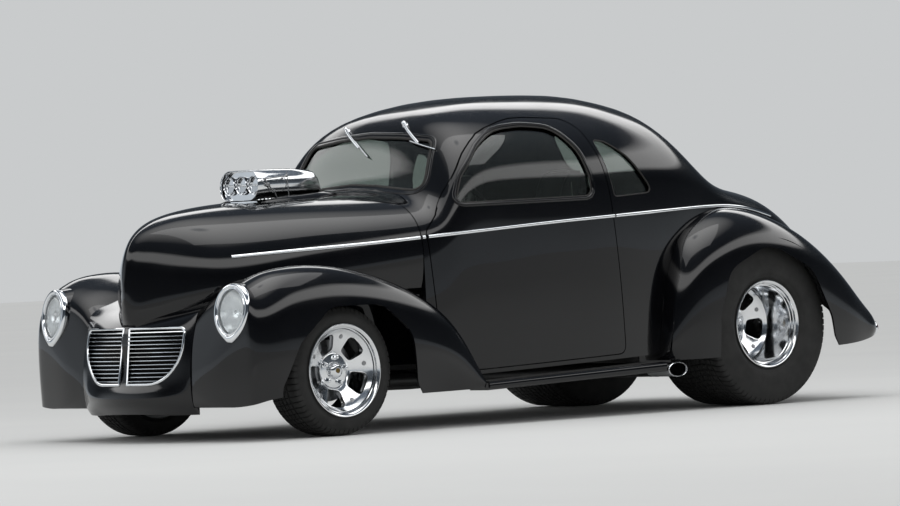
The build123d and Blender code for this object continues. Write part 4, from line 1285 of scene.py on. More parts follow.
# %% Place the wheels
for end, axle_x, centre_y, radius, lip, depth, *shape, bead_in, ribs, blocks, start in WHEELS:
    face = lip - depth
    bright = wheel_disc(face, start)
    bright.turned(barrel_profile(lip, bead_in - 8.5), steps=120)
    bright.disc(CAP, (0, face, 0))
    nuts, pins, centre = lug_nuts(face, start), rivets(face, start), Lump()
    centre.disc(CAP_CENTRE, (0, face, 0), steps=24)
    rubber = tyre_lump(tyre_points(radius, lip, bead_in, ribs, *shape), blocks)
    for side in ("l", "r"):
        wheel = f"{end}{side}"
        for lump, piece, slot, stands_for, sharp, finish in (
            (bright, "rim", "polished_alloy", [f"rim_{wheel}"], 30, None),
            (nuts, "lug_nuts", "chrome", [], 30, None),
            (pins, "rivets", "steel", [], 30, None),
            (centre, "cap_centre", "polished_alloy", [], 30, BRASS),
            (rubber, "tyre", "tyre_rubber", [f"tyre_{wheel}"], 38, None),
        ):
            placed = lump.moved((axle_x, centre_y, radius))
            place_piece(
                placed if side == "l" else placed.mirrored(), f"{piece}_detail_{wheel}",
                slot, stands_for, sharp, finish, f"wheel_{wheel}",
            )
    print("rim faces", len(bright.faces), "tyre faces", len(rubber.faces))
tell("wheels")

# %% [markdown]
# ## Lamps and grille

# %% Headlights
LENS_HALF, LENS_RISE, LENS_UP, LENS_NARROW = 76, 97, 8, 0.1
REFLECTOR = material(
    "aluminised_reflector", {"Metallic": 1.0},
    rough=(0.16, 0.28, 40), tint=("eef0f2", "f8f9fa", 9),
)
FLUTED_GLASS = material(
    "fluted_lamp_glass",
    {"Base Color": linear("f4f7f8"), "IOR": 1.45, "Transmission Weight": 0.85},
    rough=(0.05, 0.18, 30), bump=(0.3, 0.002, 90),
)
# Near-black matte material for painted shade: the dark behind the grille bars and deep in the
# scoop bores and exhaust tips
PAINTED_SHADE = material(
    "painted_shade_black", {"Base Color": linear("050505"), "Roughness": 0.9, "IOR": 1.3},
)
# The bezel as (share of the way from the teardrop outline to the lens, growth, depth), the
# painted fairing that carries it as (growth, depth), and rings of the lens outline as
# (depth, share): the reflector's bowl and shell, the lens' back and front
BEZEL = (
    (0, -0.5, -10), (0, -0.5, -2), (0.03, 0, 3), (0.14, 0, 9), (0.3, 0, 12.5), (0.48, 0, 14),
    (0.62, 0, 13), (0.7, 0, 11), (0.74, 0, 8.5), (0.8, 0, 9), (0.86, 0, 11), (0.94, 0, 11),
    (1.0, 0, 8), (1.0, 0, -20), (0.9, 0, -46),
)
FAIRING = ((12, -64), (6, -42), (2, -24), (-0.8, -8))
REFLECTOR_RINGS = (
    (-60, 0.02), (-58, 0.2), (-52, 0.42), (-40, 0.68), (-26, 0.86), (-10, 0.985),
    (-10, 0.995), (-44, 0.75), (-62, 0.44), (-66, 0.02),
)
LENS_RINGS = (
    (-8, 0.02), (-2, 0.35), (-5, 0.7), (-9, 0.985),
    (-7, 0.995), (-2, 0.97), (5, 0.85), (9, 0.66), (12, 0.42), (13.5, 0.2), (14, 0.02),
)
BULB = ((-62, 0), (-62, 9), (-44, 9), (-38, 12), (-28, 12), (-22, 8), (-20, 0))


def lens_point(angle, share=1.0):
    """A point of the egg-shaped lens outline, drawn in to a share of its size."""
    narrow = 1 + LENS_NARROW * min(0.0, math.sin(angle))
    u = LENS_HALF * math.cos(angle) * narrow
    return u * share, LENS_UP + LENS_RISE * math.sin(angle) * share


def lamp_ring(share, grow, depth):
    """A ring between the teardrop outline, share 0, and the lens opening, share 1."""
    ring = []
    for p in lamp_outline(grow):
        egg = lens_point(math.atan2((p.y - LENS_UP) / LENS_RISE, p.x / LENS_HALF))
        at = (p.x + (egg[0] - p.x) * share, p.y + (egg[1] - p.y) * share)
        ring.append(lamp_place(*at, depth))
    return ring


def egg_ring(depth, share, steps=64):
    """A ring of the lens outline, drawn in to a share of its size."""
    angles = [2 * math.pi * k / steps for k in range(steps)]
    return [lamp_place(*lens_point(a, share), depth) for a in angles]


bezel, fairing, reflector, bulb, lens = (Lump() for _ in range(5))
bezel.rings([lamp_ring(*row) for row in BEZEL], caps=False)
fairing.rings([lamp_ring(0, *row) for row in FAIRING], caps=False)
reflector.rings([egg_ring(*row) for row in REFLECTOR_RINGS])
bulb.disc(BULB, lamp_place(0, LENS_UP, 0), LAMP_AHEAD, 24)
lens.rings([egg_ring(*row) for row in LENS_RINGS])
for lump, name, *look in (
    (bezel, "headlight_bezel", "chrome", ["headlight_rims"], 50),
    (fairing, "headlight_fairing", "black_paint", [], 50),
    (reflector, "headlight_reflector", "chrome", ["headlight_bowls"], 60, REFLECTOR),
    (bulb, "headlight_bulb", "lamp_glass"),
    (lens, "headlight_lens", "lamp_glass", ["headlight_lenses"], 60, FLUTED_GLASS),
):
    place_pair(lump, name, *look)
tell("headlights")

# %% Tail lamps
TAIL_PLACE, TAIL_AHEAD = (-1916, 743, 329), Vector((-1, 0.25, 0.05)).normalized()
TAIL_LENS = ((-20, 0), (-20, 27), (6, 27), (14, 25), (20, 19), (24, 10), (25, 0))
TAIL_BEZEL = ((-22, 28), (5, 28), (9, 27.6), (11, 30), (9, 33.5), (0, 35.5), (-22, 36))
red, rim = Lump(), Lump()
red.disc(TAIL_LENS, TAIL_PLACE, TAIL_AHEAD, 40)
rim.turned(TAIL_BEZEL, TAIL_PLACE, TAIL_AHEAD, 48)
place_pair(red, "tail_lens", "red_lens", ["tail_lamps"], 50)
place_pair(rim, "tail_bezel", "chrome", [], 50)
tell("tail lamps")

# %% Grille
nose_skin = Skin(nose_grids[0])
GRILLE_LOW, GRILLE_HIGH, GRILLE_BARS = 258, 508, 13
FRAME_INSET, BAR_INSET, SHADOW_GROWTH, SHADOW_DEPTHS = 4, 9, 8, (30, 34)
FROM_FRONT, FROM_BACK, FROM_LEFT = (-1, 0, 0), (1, 0, 0), (0, -1, 0)
NOSE_FAR = 2400


def nose_point(y, z, sink=0.0):
    """A place under the nose's skin, with the normal there."""
    place, normal = on_skin(nose_skin, (NOSE_FAR, y, z), FROM_FRONT)
    return place - normal * sink, normal


def span_at(line, z):
    """Where a closed outline crosses a height: its lowest and highest y."""
    hits = []
    for p, q in zip(line, line[1:] + line[:1]):
        if (p.y - z) * (q.y - z) <= 0 and p.y != q.y:
            hits.append(p.x + (q.x - p.x) * (z - p.y) / (q.y - p.y))
    return min(hits), max(hits)


grille, backing = Lump(), Lump()
frame_line = rounded_outline(GRILLE_OUTLINE, -FRAME_INSET)
bar_line = rounded_outline(GRILLE_OUTLINE, -BAR_INSET)
shadow_line = rounded_outline(GRILLE_OUTLINE, SHADOW_GROWTH)
sweep(grille, [nose_point(p.x, p.y, -1) for p in frame_line], oval_outline(6.5, 5.5, 12), True)
for number in range(GRILLE_BARS):
    z = GRILLE_LOW + (GRILLE_HIGH - GRILLE_LOW) * (number + 1) / (GRILLE_BARS + 1)
    low_y, high_y = span_at(bar_line, z)
    spots = [nose_point(y, z, 5) for y in np.linspace(low_y - 4, high_y + 4, 12)]
    sweep(grille, spots, oval_outline(3.6, 6))
# The backing is a black sheet 30 to 34 mm under the nose's skin: painted shadow seen through the
# grille bars
for sign in (1, -1):
    backing.rings([
        [nose_point(p.x * sign, p.y, depth)[0] for p in shadow_line] for depth in SHADOW_DEPTHS
    ])
place_pair(grille, "grille_bars", "chrome", ["grille"], 50)
place_piece(backing, "grille_shadow_panel", "trim_black", finish=PAINTED_SHADE)
tell("grille")

# %% [markdown]
# ## Bright trim, seals and wipers

# %% Belt trim
# Height of the chrome strip along the car
BELT_LINE = (
    (1704, 806), (1364, 825), (1140, 836), (829, 855), (516, 876), (67, 903), (-261, 918),
    (-576, 931), (-818, 940), (-1097, 943), (-1282, 928), (-1484, 891),
)
TRIM_STEP, SIDE_FAR = 22, 1300


def belt_height(x):
    xs = [-row[0] for row in BELT_LINE]
    return float(natural_spline(xs, [row[1] for row in BELT_LINE], [-x])[0])


def trim_strip(skin, x_from, x_to):
    """A half-round strip on the left side between two stations."""
    xs = np.linspace(x_from, x_to, max(3, round(abs(x_to - x_from) / TRIM_STEP)))
    spots = [on_skin(skin, (x, SIDE_FAR, belt_height(x)), FROM_LEFT) for x in xs]
    lump = Lump()
    sweep(lump, spots, oval_outline(7.5, 4.2, 12, 0.6))
    return lump


for piece, body, skin, x_from, x_to in (
    ("hood", "hood", Skin(hood_grids[0]), 1704, 820),
    ("cowl", "car_body", outer_skin, 808, 793),
    ("door", "door_SIDE", outer_skin, 777, -264),
    ("quarter", "car_body", outer_skin, -272, -1484),
):
    place_pair(trim_strip(skin, x_from, x_to), f"belt_trim_{piece}", "chrome", body=body)
tell("belt trim")

# %% Window mouldings and seals
SEAL_RUBBER = material(
    "window_seal_rubber", {"IOR": 1.45}, rough=(0.5, 0.7, 60), tint=("161514", "211f1d", 14),
)
SEAL_STEP, SCREEN_FAR, REAR_FAR = 14, 1330, -2300
MOULDING, BEAD = oval_outline(9, 6, 12), oval_outline(5, 4, 10, -4)
GLASS_MOULDING, GLASS_BEAD = oval_outline(8, 4, 12), oval_outline(8, 5, 12, -2)


def seal_on(corners, seen, direction, outline, grow, far=SIDE_FAR):
    """A bead swept round an outline on the body skin."""
    line = rounded_outline(corners, grow)
    line = line + line[:1]
    params = chords(np.array([tuple(p) for p in line]))
    places = np.linspace(0, params[-1], round(params[-1] / SEAL_STEP), endpoint=False)
    u = np.interp(places, params, [p.x for p in line])
    v = np.interp(places, params, [p.y for p in line])
    lump = Lump()
    spots = [on_skin(outer_skin, seen(a, b, far), direction) for a, b in zip(u, v)]
    sweep(lump, spots, outline, True)
    return lump


for name, corners, outline, grow, body, slot, finish in (
    ("door_window_moulding", DOOR_WINDOW, MOULDING, 8, "door_SIDE", "black_paint", None),
    ("door_window_seal", DOOR_WINDOW, BEAD, -2, "door_SIDE", "trim_black", SEAL_RUBBER),
    ("quarter_window_seal", QUARTER_WINDOW, BEAD, -1, "car_body", "trim_black", SEAL_RUBBER),
):
    seal = seal_on(corners, seen_from_side, FROM_LEFT, outline, grow)
    place_pair(seal, name, slot, [], 60, finish, body=body)
for name, corners, direction, far in (
    ("windscreen", WINDSCREEN, FROM_FRONT, SCREEN_FAR),
    ("rear_window", REAR_WINDOW, FROM_BACK, REAR_FAR),
):
    seal = seal_on(corners, seen_from_front, direction, GLASS_BEAD, -2, far)
    place_piece(seal, f"{name}_seal", "trim_black", [], 60, SEAL_RUBBER)
    moulding = seal_on(corners, seen_from_front, direction, GLASS_MOULDING, 16, far)
    place_piece(moulding, f"{name}_moulding", "black_paint", [], 60)
tell("mouldings and seals")

# %% Wipers
# pivot (y, z), arm end (y, z), blade start (y, z) and blade end (y, z) on the screen
WIPERS = (
    ("right", (-196, 1360), (-40, 1276), (-84, 1306), (45, 1232)),
    ("left", (198, 1372), (352, 1282), (296, 1294), (462, 1250)),
)
WIPER_FOOT = ((-3, 0), (-3, 15), (2, 15), (5, 11), (20, 10), (24, 7), (25, 0))
BLADE_OUTLINE = ((-1.6, -6), (1.6, -6), (3.4, 8), (-3.4, 8))


def on_screen(y, z, lift):
    """A place over the screen, with the normal there."""
    place, normal = on_skin(outer_skin, (SCREEN_FAR, y, z), FROM_FRONT)
    return place + normal * lift, normal


def bar(lump, start, end, lift_from, lift_to, outline, steps=8):
    """Sweep an outline over the screen from one (y, z) to another."""
    spots = []
    for share in np.linspace(0, 1, steps):
        y, z = (a + (b - a) * share for a, b in zip(start, end))
        spots.append(on_screen(y, z, lift_from + (lift_to - lift_from) * share))
    sweep(lump, spots, outline)


for side, pivot, arm_end, blade_start, blade_end in WIPERS:
    arm, blade = Lump(), Lump()
    arm.disc(WIPER_FOOT, *on_screen(*pivot, 0), 28)
    bar(arm, pivot, arm_end, 20, 10, oval_outline(6.5, 2.6))
    bar(arm, blade_start, blade_end, 8, 8, oval_outline(3.2, 2.6, 8))
    bar(blade, blade_start, blade_end, -3, -3, BLADE_OUTLINE)
    place_piece(arm, f"wiper_arm_{side}", "chrome", [], 50)
    place_piece(
        blade, f"wiper_blade_{side}", "trim_black", finish=CAD_FINISH["tyre_rubber"]
    )
tell("wipers")

# %% [markdown]
# ## Injector scoop
# A polished flat oval duct whose mouth leans back, with three bores and their butterflies,
# a slanted flat tail, and the throttle linkage on the car's left side.

# %% Scoop duct
# x, half width, low, high
SCOOP_SECTIONS = (
    (1354, 138, 1052, 1192),
    (1290, 139, 1053, 1194),
    (1130, 138, 1056, 1194),
    (1010, 126, 1058, 1186),
    (985, 116, 1060, 1170),
    (955, 98, 1064, 1108),
)
SCOOP_WALL, SCOOP_RAKE = 5, 6
# The rake fades out over this length behind the mouth
RAKE_END_X, RAKE_LENGTH = 1150, 222
BORE_X, BORE_Z, BORE_PITCH = 1331, 1123, 86


def scoop_ring(x, half, low, high, lean, inset=0.0, steps=56):
    """A flat oval: half circles at the sides joined by nearly flat top and bottom."""
    middle, rise, side = (low + high) / 2, (high - low) / 2 - inset, half - inset
    bend = min(0.9 * rise, 0.7 * side)
    ring = []
    for k in range(steps):
        a = 2 * math.pi * (k + 0.5) / steps
        y = math.copysign(side - bend, math.cos(a)) + bend * math.cos(a)
        ring.append((x - lean * math.sin(a), y, middle + rise * math.sin(a)))
    return ring


def lean_at(x):
    """The mouth leans back; the lean fades out towards the tail."""
    return SCOOP_RAKE * max(0.0, min(1.0, (x - RAKE_END_X) / RAKE_LENGTH))


duct = Lump()
mouth, behind = SCOOP_SECTIONS[0][1:], SCOOP_SECTIONS[1][1:]
scoop_rings = [scoop_ring(*row, lean_at(row[0])) for row in SCOOP_SECTIONS[::-1]]
for x, inset in ((1357.5, 1.2), (1358, 3.2), (1355, 4.8), (1350, SCOOP_WALL)):
    scoop_rings.append(scoop_ring(x, *mouth, SCOOP_RAKE, inset))
scoop_rings.append(scoop_ring(BORE_X, *behind, SCOOP_RAKE * 0.75, SCOOP_WALL + 1))
duct.rings(scoop_rings)
place_piece(duct, "scoop_duct", "polished_alloy", ["injector_scoop"], 30)

# %% Bores, butterflies and blower case
BORE_AHEAD, FLAP_AHEAD = Vector((1, 0, 0.04)).normalized(), Vector((1, 0, 0.3)).normalized()
BORE = ((-14, 35), (10, 35), (14, 36.5), (16, 39), (14, 41.5), (-14, 42.5))
FLAP, SCREW_Y = ((-1.5, 0), (-1.5, 33), (1.5, 33), (1.5, 0)), 14
FLAP_SCREW = ((1.4, 0), (1.4, 3.5), (4, 3.5), (5, 2), (5, 0))
# THROAT is a black disc a little way down each bore: painted shade in the throat
THROAT = ((-13, 0), (-13, 35.5), (-12, 35.5), (-12, 0))
FLAP_SHAFT = ((-128, 0), (-128, 4), (128, 4), (128, 0))
CASE_LOW, CASE_SHOULDER, CASE_HIGH, CASE_HALF, CASE_EDGE = 900, 1038, 1052, 105, 12
CASE_BACK_X, CASE_FRONT_X, CASE_PITCH, CASE_RIB = 960, 1341, 11, 4
bores, flaps, dark, case = (Lump() for _ in range(4))
for y in (-BORE_PITCH, 0, BORE_PITCH):
    place = (BORE_X, y, BORE_Z)
    bores.turned(BORE, place, BORE_AHEAD, 56)
    flaps.disc(FLAP, place, FLAP_AHEAD, 40)
    for screw_y in (-SCREW_Y, SCREW_Y):
        flaps.disc(FLAP_SCREW, (BORE_X, y + screw_y, BORE_Z), FLAP_AHEAD, 12)
    dark.disc(THROAT, place, BORE_AHEAD, 40)
flaps.disc(FLAP_SHAFT, (BORE_X + 1, 0, BORE_Z), steps=16)
rows = []
for number, x in enumerate(np.arange(CASE_BACK_X, CASE_FRONT_X, CASE_PITCH)):
    wide = CASE_HALF - (CASE_RIB if number % 2 else 0)
    half = [(wide, CASE_LOW), (wide, CASE_SHOULDER), (wide - CASE_EDGE, CASE_HIGH)]
    outline = [(-wide, CASE_LOW), *half] + [(-y, z) for y, z in half[:0:-1]]
    rows.append([(x, y, z) for y, z in outline])
case.rings(rows)
place_piece(bores, "scoop_bores", "chrome", [], 40)
place_piece(flaps, "scoop_butterflies", "polished_alloy", [], 40)
place_piece(dark, "scoop_throat_shade", "trim_black", finish=PAINTED_SHADE)
place_piece(case, "blower_case", "polished_alloy", [], 30)

# %% Throttle linkage on the left side
LEVER_FOOT = Vector((BORE_X - 22, 145, BORE_Z))
LEVER_TOP, LEVER_LOW = LEVER_FOOT + Vector((20, 4, 26)), LEVER_FOOT + Vector((-30, 4, -30))
LEVER_HUB = ((-5, 0), (-5, 10), (7, 10), (9, 7), (9, 0))
LEVER_JOINT = ((-4, 0), (-4, 5.5), (8, 5.5), (10, 3), (10, 0))
ROD_JOINT = ((-6, 0), (-6, 6), (6, 6), (8, 4), (8, 0))
# Rods from one place to another, with their radius
RODS = (
    (LEVER_FOOT + Vector((0, 4, 0)), LEVER_TOP, 3.6),
    (LEVER_FOOT + Vector((0, 4, 0)), LEVER_LOW, 3.6),
    (LEVER_TOP + Vector((0, 5, 0)), (1200, 150, 1160), 2.6),
    (LEVER_LOW + Vector((0, 5, 0)), (1262, 152, 1062), 2.6),
    ((1190, 139, 1178), (1190, 148, 1068), 2.2),
)
linkage = Lump()
linkage.disc(LEVER_HUB, LEVER_FOOT, steps=20)
for joint_place in (LEVER_TOP, LEVER_LOW):
    linkage.disc(LEVER_JOINT, joint_place, steps=14)
linkage.disc(ROD_JOINT, (1200, 148, 1160), steps=14)
for start, end, radius in RODS:
    rod = Vector(end) - Vector(start)
    profile = ((0, 0), (0, radius), (rod.length, radius), (rod.length, 0))
    linkage.disc(profile, start, rod, 12)
place_piece(linkage, "throttle_linkage", "steel", [], 40)
tell("injector scoop")

# %% [markdown]
# ## Aprons, boards, cabin and exhausts

# %% Aprons beside the engine bay and running boards
# Inner apron beside the engine bay, as a plan path with its top height; the wheel steers clear
APRON_PATH = ((1850, 388), (1560, 404), (1330, 424), (1140, 424), (1040, 515), (822, 582))
APRON_THICK, APRON_HIGH_Z, APRON_EDGE, APRON_STEP = 8, 606, 4, 30
# From x, to x, low edge
APRON_SPANS = ((1850, 1500, 290), (1500, 1360, 575), (1360, 822, 290))
apron = Lump()
for first, last, low in APRON_SPANS:
    rings = []
    for x in np.linspace(first, last, max(2, round((first - last) / APRON_STEP))):
        y = float(np.interp(-x, [-row[0] for row in APRON_PATH], [row[1] for row in APRON_PATH]))
        side, edge = APRON_HIGH_Z - APRON_EDGE, y + APRON_THICK
        rings.append([
            (x, y, low), (x, edge, low), (x, edge, side), (x, y + APRON_THICK / 2, APRON_HIGH_Z),
            (x, y, side),
        ])
    apron.rings(rings)
place_pair(apron, "engine_bay_apron", "black_paint")

# Running boards: x, low, high at the front and the rear end, then inner and outer y
BOARD_ENDS = ((612, 158, 196), (-488, 190, 234))
BOARD_IN, BOARD_OUT, BOARD_EDGE = 668, 806, 15
# A stone guard closes the gap between the board's rear end, the sill and the rear fender
GUARD_ENDS, GUARD_OUTLINE = (-440, -640), ((664, 214), (670, 214), (670, 272), (664, 272))
RIB_COUNT, RIB_Y, RIB_PITCH = 7, 690, 14
RIB_OUTLINE = ((-3, -1), (3, -1), (1.5, 3), (-1.5, 3))
board, grips = Lump(), Lump()
rings = []
for share in np.linspace(0, 1, 24):
    x, low, high = (a + (b - a) * share for a, b in zip(*BOARD_ENDS))
    ring = [(x, BOARD_IN, low), (x, BOARD_IN, high)]
    for k in range(9):
        a = math.pi / 2 - math.pi * k / 8
        ring.append((x, BOARD_OUT - BOARD_EDGE + BOARD_EDGE * math.cos(a),
                     (low + high) / 2 + (high - low) / 2 * math.sin(a)))
    rings.append(ring)
board.rings(rings)
board.rings([[(x, y, z) for y, z in GUARD_OUTLINE] for x in GUARD_ENDS])
for number in range(RIB_COUNT):
    y = RIB_Y + number * RIB_PITCH
    line = dense_line([(590, y, 196.4), (-466, y, 233.4)], 200)
    sweep(grips, [(place, (0, 0, 1)) for place in line], RIB_OUTLINE)
place_pair(board, "running_board", "black_paint", ["running_boards"], 40)
place_pair(
    grips, "running_board_ribs", "trim_black", [], 35, CAD_FINISH["tyre_rubber"]
)
tell("aprons and boards")

# %% Seats
# Bucket seats: crowned pads with rolled sides, sewn channels and a light piping
SEAT_Y, SEAT_HALF = 335, 200
PAD_COLUMNS, PAD_ROWS, PIPING_STEPS, PAD_UNDER = 33, 41, 72, 8
# Crown height, squareness of the edge, then place and width of the side rolls
PAD_CROWN, PAD_EDGE, ROLL_AT, ROLL_WIDTH, PAD_PULL = 14, 6, 0.8, 0.14, 0.03
# Depth and sharpness of the cross seams, where they end, and the same for the long seams
SEAM_DEPTH, SEAM_SHARP, SEAM_END, LONG_DEPTH, LONG_SHARP = 7, 6, 0.66, 6, 28
NECK_START, NECK_LENGTH = 0.38, 0.3
# The piping's squareness, its shares of the pad's size and height, and its lift
PIPING_SQUARE, PIPING_IN, PIPING_SHARE, PIPING_LIFT = 0.4, 0.97, 0.9, 4
PIPING = material(
    "grey_vinyl_piping", {"IOR": 1.45}, rough=(0.4, 0.5, 60), tint=("8b8a88", "97958f", 30),
)


def neck_in(v, headrest):
    """The width share along a pad, which necks in to a headrest at its upper end."""
    t = min(1.0, max(0.0, (-v - NECK_START) / NECK_LENGTH))
    return 1 - headrest * t * t * (3 - 2 * t)


def edge_share(u, v):
    """How full the pad is: 1 within, falling to 0 at its edge."""
    return (1 - abs(u) ** PAD_EDGE) ** 0.5 * (1 - abs(v) ** PAD_EDGE) ** 0.5


def pad(place, half_w, half_l, thick, roll, channels, tilt, headrest=0.0):
    """A crowned pad in its own plane, with side rolls and channel seams, then tilted."""
    top, bottom = [], []
    for i in range(PAD_ROWS):
        v = -1 + 2 * i / (PAD_ROWS - 1)
        for j in range(PAD_COLUMNS):
            u = -1 + 2 * j / (PAD_COLUMNS - 1)
            side_roll = roll * math.exp(-((abs(u) - ROLL_AT) / ROLL_WIDTH) ** 2)
            wave = abs(math.sin(math.pi * channels * (v + 1) / 2))
            seam = -LONG_DEPTH * max(0.0, 1 - abs(abs(u) - SEAM_END) * LONG_SHARP)
            if abs(u) < SEAM_END:
                seam -= SEAM_DEPTH * max(0.0, 1 - wave * SEAM_SHARP)
            crown = PAD_CROWN * (1 - u * u) * (1 - v * v)
            pull, edge = 1 - PAD_PULL * abs(u * v), edge_share(u, v)
            across, along = u * half_w * pull * neck_in(v, headrest), v * half_l * pull
            top.append((along, across, (thick + side_roll + seam + crown) * edge))
            bottom.append((along, across, -PAD_UNDER * edge))
    count = PAD_ROWS * PAD_COLUMNS
    quads = [tuple(q) for q in quads_of(PAD_ROWS, PAD_COLUMNS, False)]
    faces = quads + [tuple(i + count for i in q[::-1]) for q in quads]
    last = PAD_COLUMNS - 1
    rim = list(range(PAD_COLUMNS))
    rim += [i * PAD_COLUMNS + last for i in range(1, PAD_ROWS)]
    rim += [(PAD_ROWS - 1) * PAD_COLUMNS + j for j in range(last - 1, -1, -1)]
    rim += [i * PAD_COLUMNS for i in range(PAD_ROWS - 2, 0, -1)]
    faces += [(a, b, b + count, a + count) for a, b in zip(rim, rim[1:] + rim[:1])]
    turn = Matrix.Rotation(math.radians(tilt), 3, "Y")
    lump, piping = Lump(), Lump()
    lump.add([Vector(place) + turn @ Vector(point) for point in top + bottom], faces)
    spots = []
    for k in range(PIPING_STEPS):
        a = 2 * math.pi * k / PIPING_STEPS
        ways = math.cos(a), math.sin(a)
        u, v = (math.copysign(abs(way) ** PIPING_SQUARE, way) * PIPING_IN for way in ways)
        height = thick * edge_share(u, v) * PIPING_SHARE + PIPING_LIFT
        point = Vector((v * half_l, u * half_w * neck_in(v, headrest), height))
        spots.append((Vector(place) + turn @ point, turn @ Vector((0, 0, 1))))
    sweep(piping, spots, oval_outline(3.5, 3.5, 8), True)
    return lump, piping


cushion, cushion_piping = pad(
    (75, SEAT_Y, 358), SEAT_HALF, half_l=245, thick=84, roll=26, channels=7, tilt=-3,
)
backrest, back_piping = pad(
    (-255, SEAT_Y, 758), SEAT_HALF, half_l=395, thick=66, roll=30, channels=9, tilt=80,
    headrest=0.42,
)
for lump, name, node in (
    (cushion, "seat_cushion", "seat_cushions"), (backrest, "seat_back", "seat_backs"),
):
    for piece in place_pair(lump, name, "seat_hide", [node], 60):
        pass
for lump, name in ((cushion_piping, "seat_piping"), (back_piping, "back_piping")):
    place_pair(lump, name, "seat_hide", [], 35, PIPING)
tell("seats")

# %% Steering wheel
WHEEL_CENTRE, WHEEL_LEAN, WHEEL_R, GRIP_R = Vector((300, SEAT_Y, 934)), 24, 185, 13
GRIP_SHARE, GRIP_STEPS = 0.9, 14
COLUMN = ((-385, 0), (-385, 15), (-30, 16), (-20, 30), (-8, 36), (8, 34), (14, 26), (17, 0))
SPOKE_LINE = ((28, -6), (80, -8), (140, -5), (176, 0))
column_up = Vector((-1, 0, math.tan(math.radians(WHEEL_LEAN)))).normalized()
side_way = Vector((0, 1, 0))
up_way = column_up.cross(side_way)
wheel, spokes = Lump(), Lump()
grip = [
    (GRIP_R * GRIP_SHARE * math.sin(a), WHEEL_R + GRIP_R * math.cos(a))
    for a in np.linspace(0, 2 * math.pi, GRIP_STEPS, endpoint=False)
]
wheel.turned(grip, WHEEL_CENTRE, column_up, 72)
wheel.disc(COLUMN, WHEEL_CENTRE, column_up, 32)
for degrees in (180, 300, 420):
    a = math.radians(degrees)
    out = side_way * math.cos(a) + up_way * math.sin(a)
    line = dense_line([WHEEL_CENTRE + out * r + column_up * d for r, d in SPOKE_LINE], 14)
    sweep(spokes, [(place, column_up) for place in line], oval_outline(9, 2.2))
place_piece(wheel, "steering_wheel_rim", "trim_black", ["steering_wheel"], 40)
place_piece(spokes, "steering_wheel_spokes", "polished_alloy")
tell("steering wheel")

# %% Exhaust tips
TIP_X, TIP_Z, TIP_STEPS = -552, 196, 40
# y, half width, half height
TIP_RINGS = (
    (700, 52, 27), (802, 53, 28), (808, 54, 29), (811, 57, 32), (808, 59.5, 34.5), (800, 59, 34),
    (700, 58.4, 33.4), (655, 58.4, 33.4),
)
# A black plug a little way inside each tip is painted shade in the pipe's bore
THROAT_RINGS = ((712, 52.5, 27.5), (716, 52.5, 27.5))
tips, tip_dark = Lump(), Lump()


def oval_ring(y, half_wide, half_high):
    angles = np.linspace(0, 2 * math.pi, TIP_STEPS, endpoint=False)
    return [(TIP_X + half_wide * math.cos(a), y, TIP_Z + half_high * math.sin(a)) for a in angles]


tips.rings([oval_ring(*row) for row in TIP_RINGS], caps=False)
tip_dark.rings([oval_ring(*row) for row in THROAT_RINGS])
place_pair(tips, "exhaust_tip", "chrome", [], 50)
place_pair(tip_dark, "exhaust_tip_shade", "trim_black", [], 35, PAINTED_SHADE)
tell("exhaust tips")

# %% Clear the cutting tools away
for tool in tools:
    bpy.data.objects.remove(tool)
print("cleared", len(tools), "cutting tools")

# %% [markdown]
# A plain pale floor under plain light. Gloss black shows nothing but what it mirrors, so
# mirrored rays find a soft sky: pale at the horizon, dim above it, a bright band like a long
# softbox high up, and a glow ahead on the right. The camera and the glass see plain grey.

# %% Floor and light
FLOOR_CORNERS = ((-60, -60, 0), (60, -60, 0), (60, 60, 0), (-60, 60, 0))
floor = mesh_object("studio_floor", FLOOR_CORNERS, [range(4)])
floor.data.materials.append(material(
    "pale_floor", {"Roughness": 1.0, "Specular IOR Level": 0.0}, tint=("c6c7c7", "cdcecd", 0.6),
))

world = bpy.data.worlds.new("studio_world")
bpy.context.scene.world = world
world.use_nodes = True
sky = world.node_tree
sky.nodes.clear()
# Place on the ramp from the ground to straight up, and colour there
SKY_RAMP = (
    (0.03, "7d8286"), (0.05, "34383d"), (0.3, "22262a"), (0.4, "2c3136"), (0.44, "ffffff"),
    (0.56, "ffffff"), (0.61, "3a4047"), (0.8, "4a5058"), (1.0, "858c95"),
)
GLOW_TOWARD = (0.66, -0.75, 0.0)


def join(kind, *sources, settings=None):
    """A node of the sky whose first inputs take the sources, in order."""
    node = add(sky, kind, settings)
    for source, socket in zip(sources, node.inputs):
        sky.links.new(source, socket)
    return node


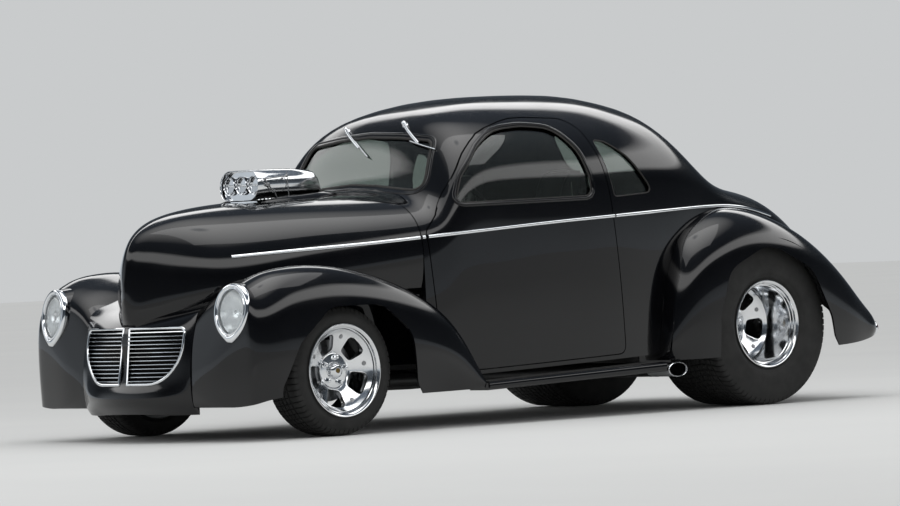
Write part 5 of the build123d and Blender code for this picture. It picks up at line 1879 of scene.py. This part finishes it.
direction = add(sky, "ShaderNodeTexCoord").outputs["Generated"]
height = add(sky, "ShaderNodeSeparateXYZ", {}, {"Vector": direction}).outputs["Z"]
ramp = add(sky, "ShaderNodeValToRGB", {}, {"Fac": height})
for place, code in SKY_RAMP:
    stop = ramp.color_ramp.elements.new(place)
    stop.color = linear(code)
ramp.color_ramp.elements[0].color = linear("8b9095")
toward = join("ShaderNodeVectorMath", direction, settings={"operation": "DOT_PRODUCT"})
toward.inputs[1].default_value = GLOW_TOWARD
glow = add(
    sky, "ShaderNodeMapRange",
    {"interpolation_type": "SMOOTHSTEP", "From Min": 0.8, "From Max": 0.99, "To Max": 0.6},
    {"Value": toward.outputs["Value"]},
)
tone = add(sky, "ShaderNodeMix", {"data_type": "RGBA"})
sky.links.new(glow.outputs["Result"], tone.inputs[MIX_FACTOR])
sky.links.new(ramp.outputs["Color"], tone.inputs[MIX_A])
tone.inputs[MIX_B].default_value = linear("aab0b6")
mirrored = add(
    sky, "ShaderNodeBackground", {"Strength": 2.2}, {"Color": tone.outputs[MIX_RESULT]}
).outputs[0]
plain, even = (
    add(sky, "ShaderNodeBackground", {"Color": linear(code), "Strength": strength}).outputs[0]
    for code, strength in (("c9cbcc", 1.0), ("ffffff", 0.95))
)
ray = add(sky, "ShaderNodeLightPath").outputs
reflected = join(
    "ShaderNodeMath", ray["Is Glossy Ray"], ray["Is Transmission Ray"],
    settings={"operation": "SUBTRACT", "use_clamp": True},
).outputs[0]
seen_sky = join("ShaderNodeMixShader", reflected, plain, mirrored).outputs[0]
both = join("ShaderNodeMixShader", ray["Is Diffuse Ray"], seen_sky, even).outputs[0]
add(sky, "ShaderNodeOutputWorld", {}, {"Surface": both})


def softbox(name, place, aim, size, power, in_gloss=True):
    """An area light at a place, facing aim, with (width, height) and watts."""
    light = bpy.data.lights.new(name, "AREA")
    light.shape = "RECTANGLE"
    light.size, light.size_y = size
    light.energy = power
    made = linked(name, light)
    made.location = place
    made.rotation_mode = "QUATERNION"
    made.rotation_quaternion = (Vector(aim) - Vector(place)).to_track_quat("-Z", "Y")
    made.visible_glossy = in_gloss


softbox("overhead_box", (0.5, 1.5, 6.0), aim=(0.0, 0.0, 0.5), size=(7.0, 4.0), power=120)
softbox(
    "side_box", (2.0, 9.0, 3.6), aim=(0.0, 0.0, 0.8), size=(9.0, 2.0), power=60,
    in_gloss=False,
)
softbox(
    "front_box", (9.0, 2.0, 3.2), aim=(1.0, 0.0, 0.8), size=(2.5, 3.0), power=60,
    in_gloss=False,
)
bpy.context.scene.view_settings.view_transform = "Standard"
print("sky nodes", len(sky.nodes))
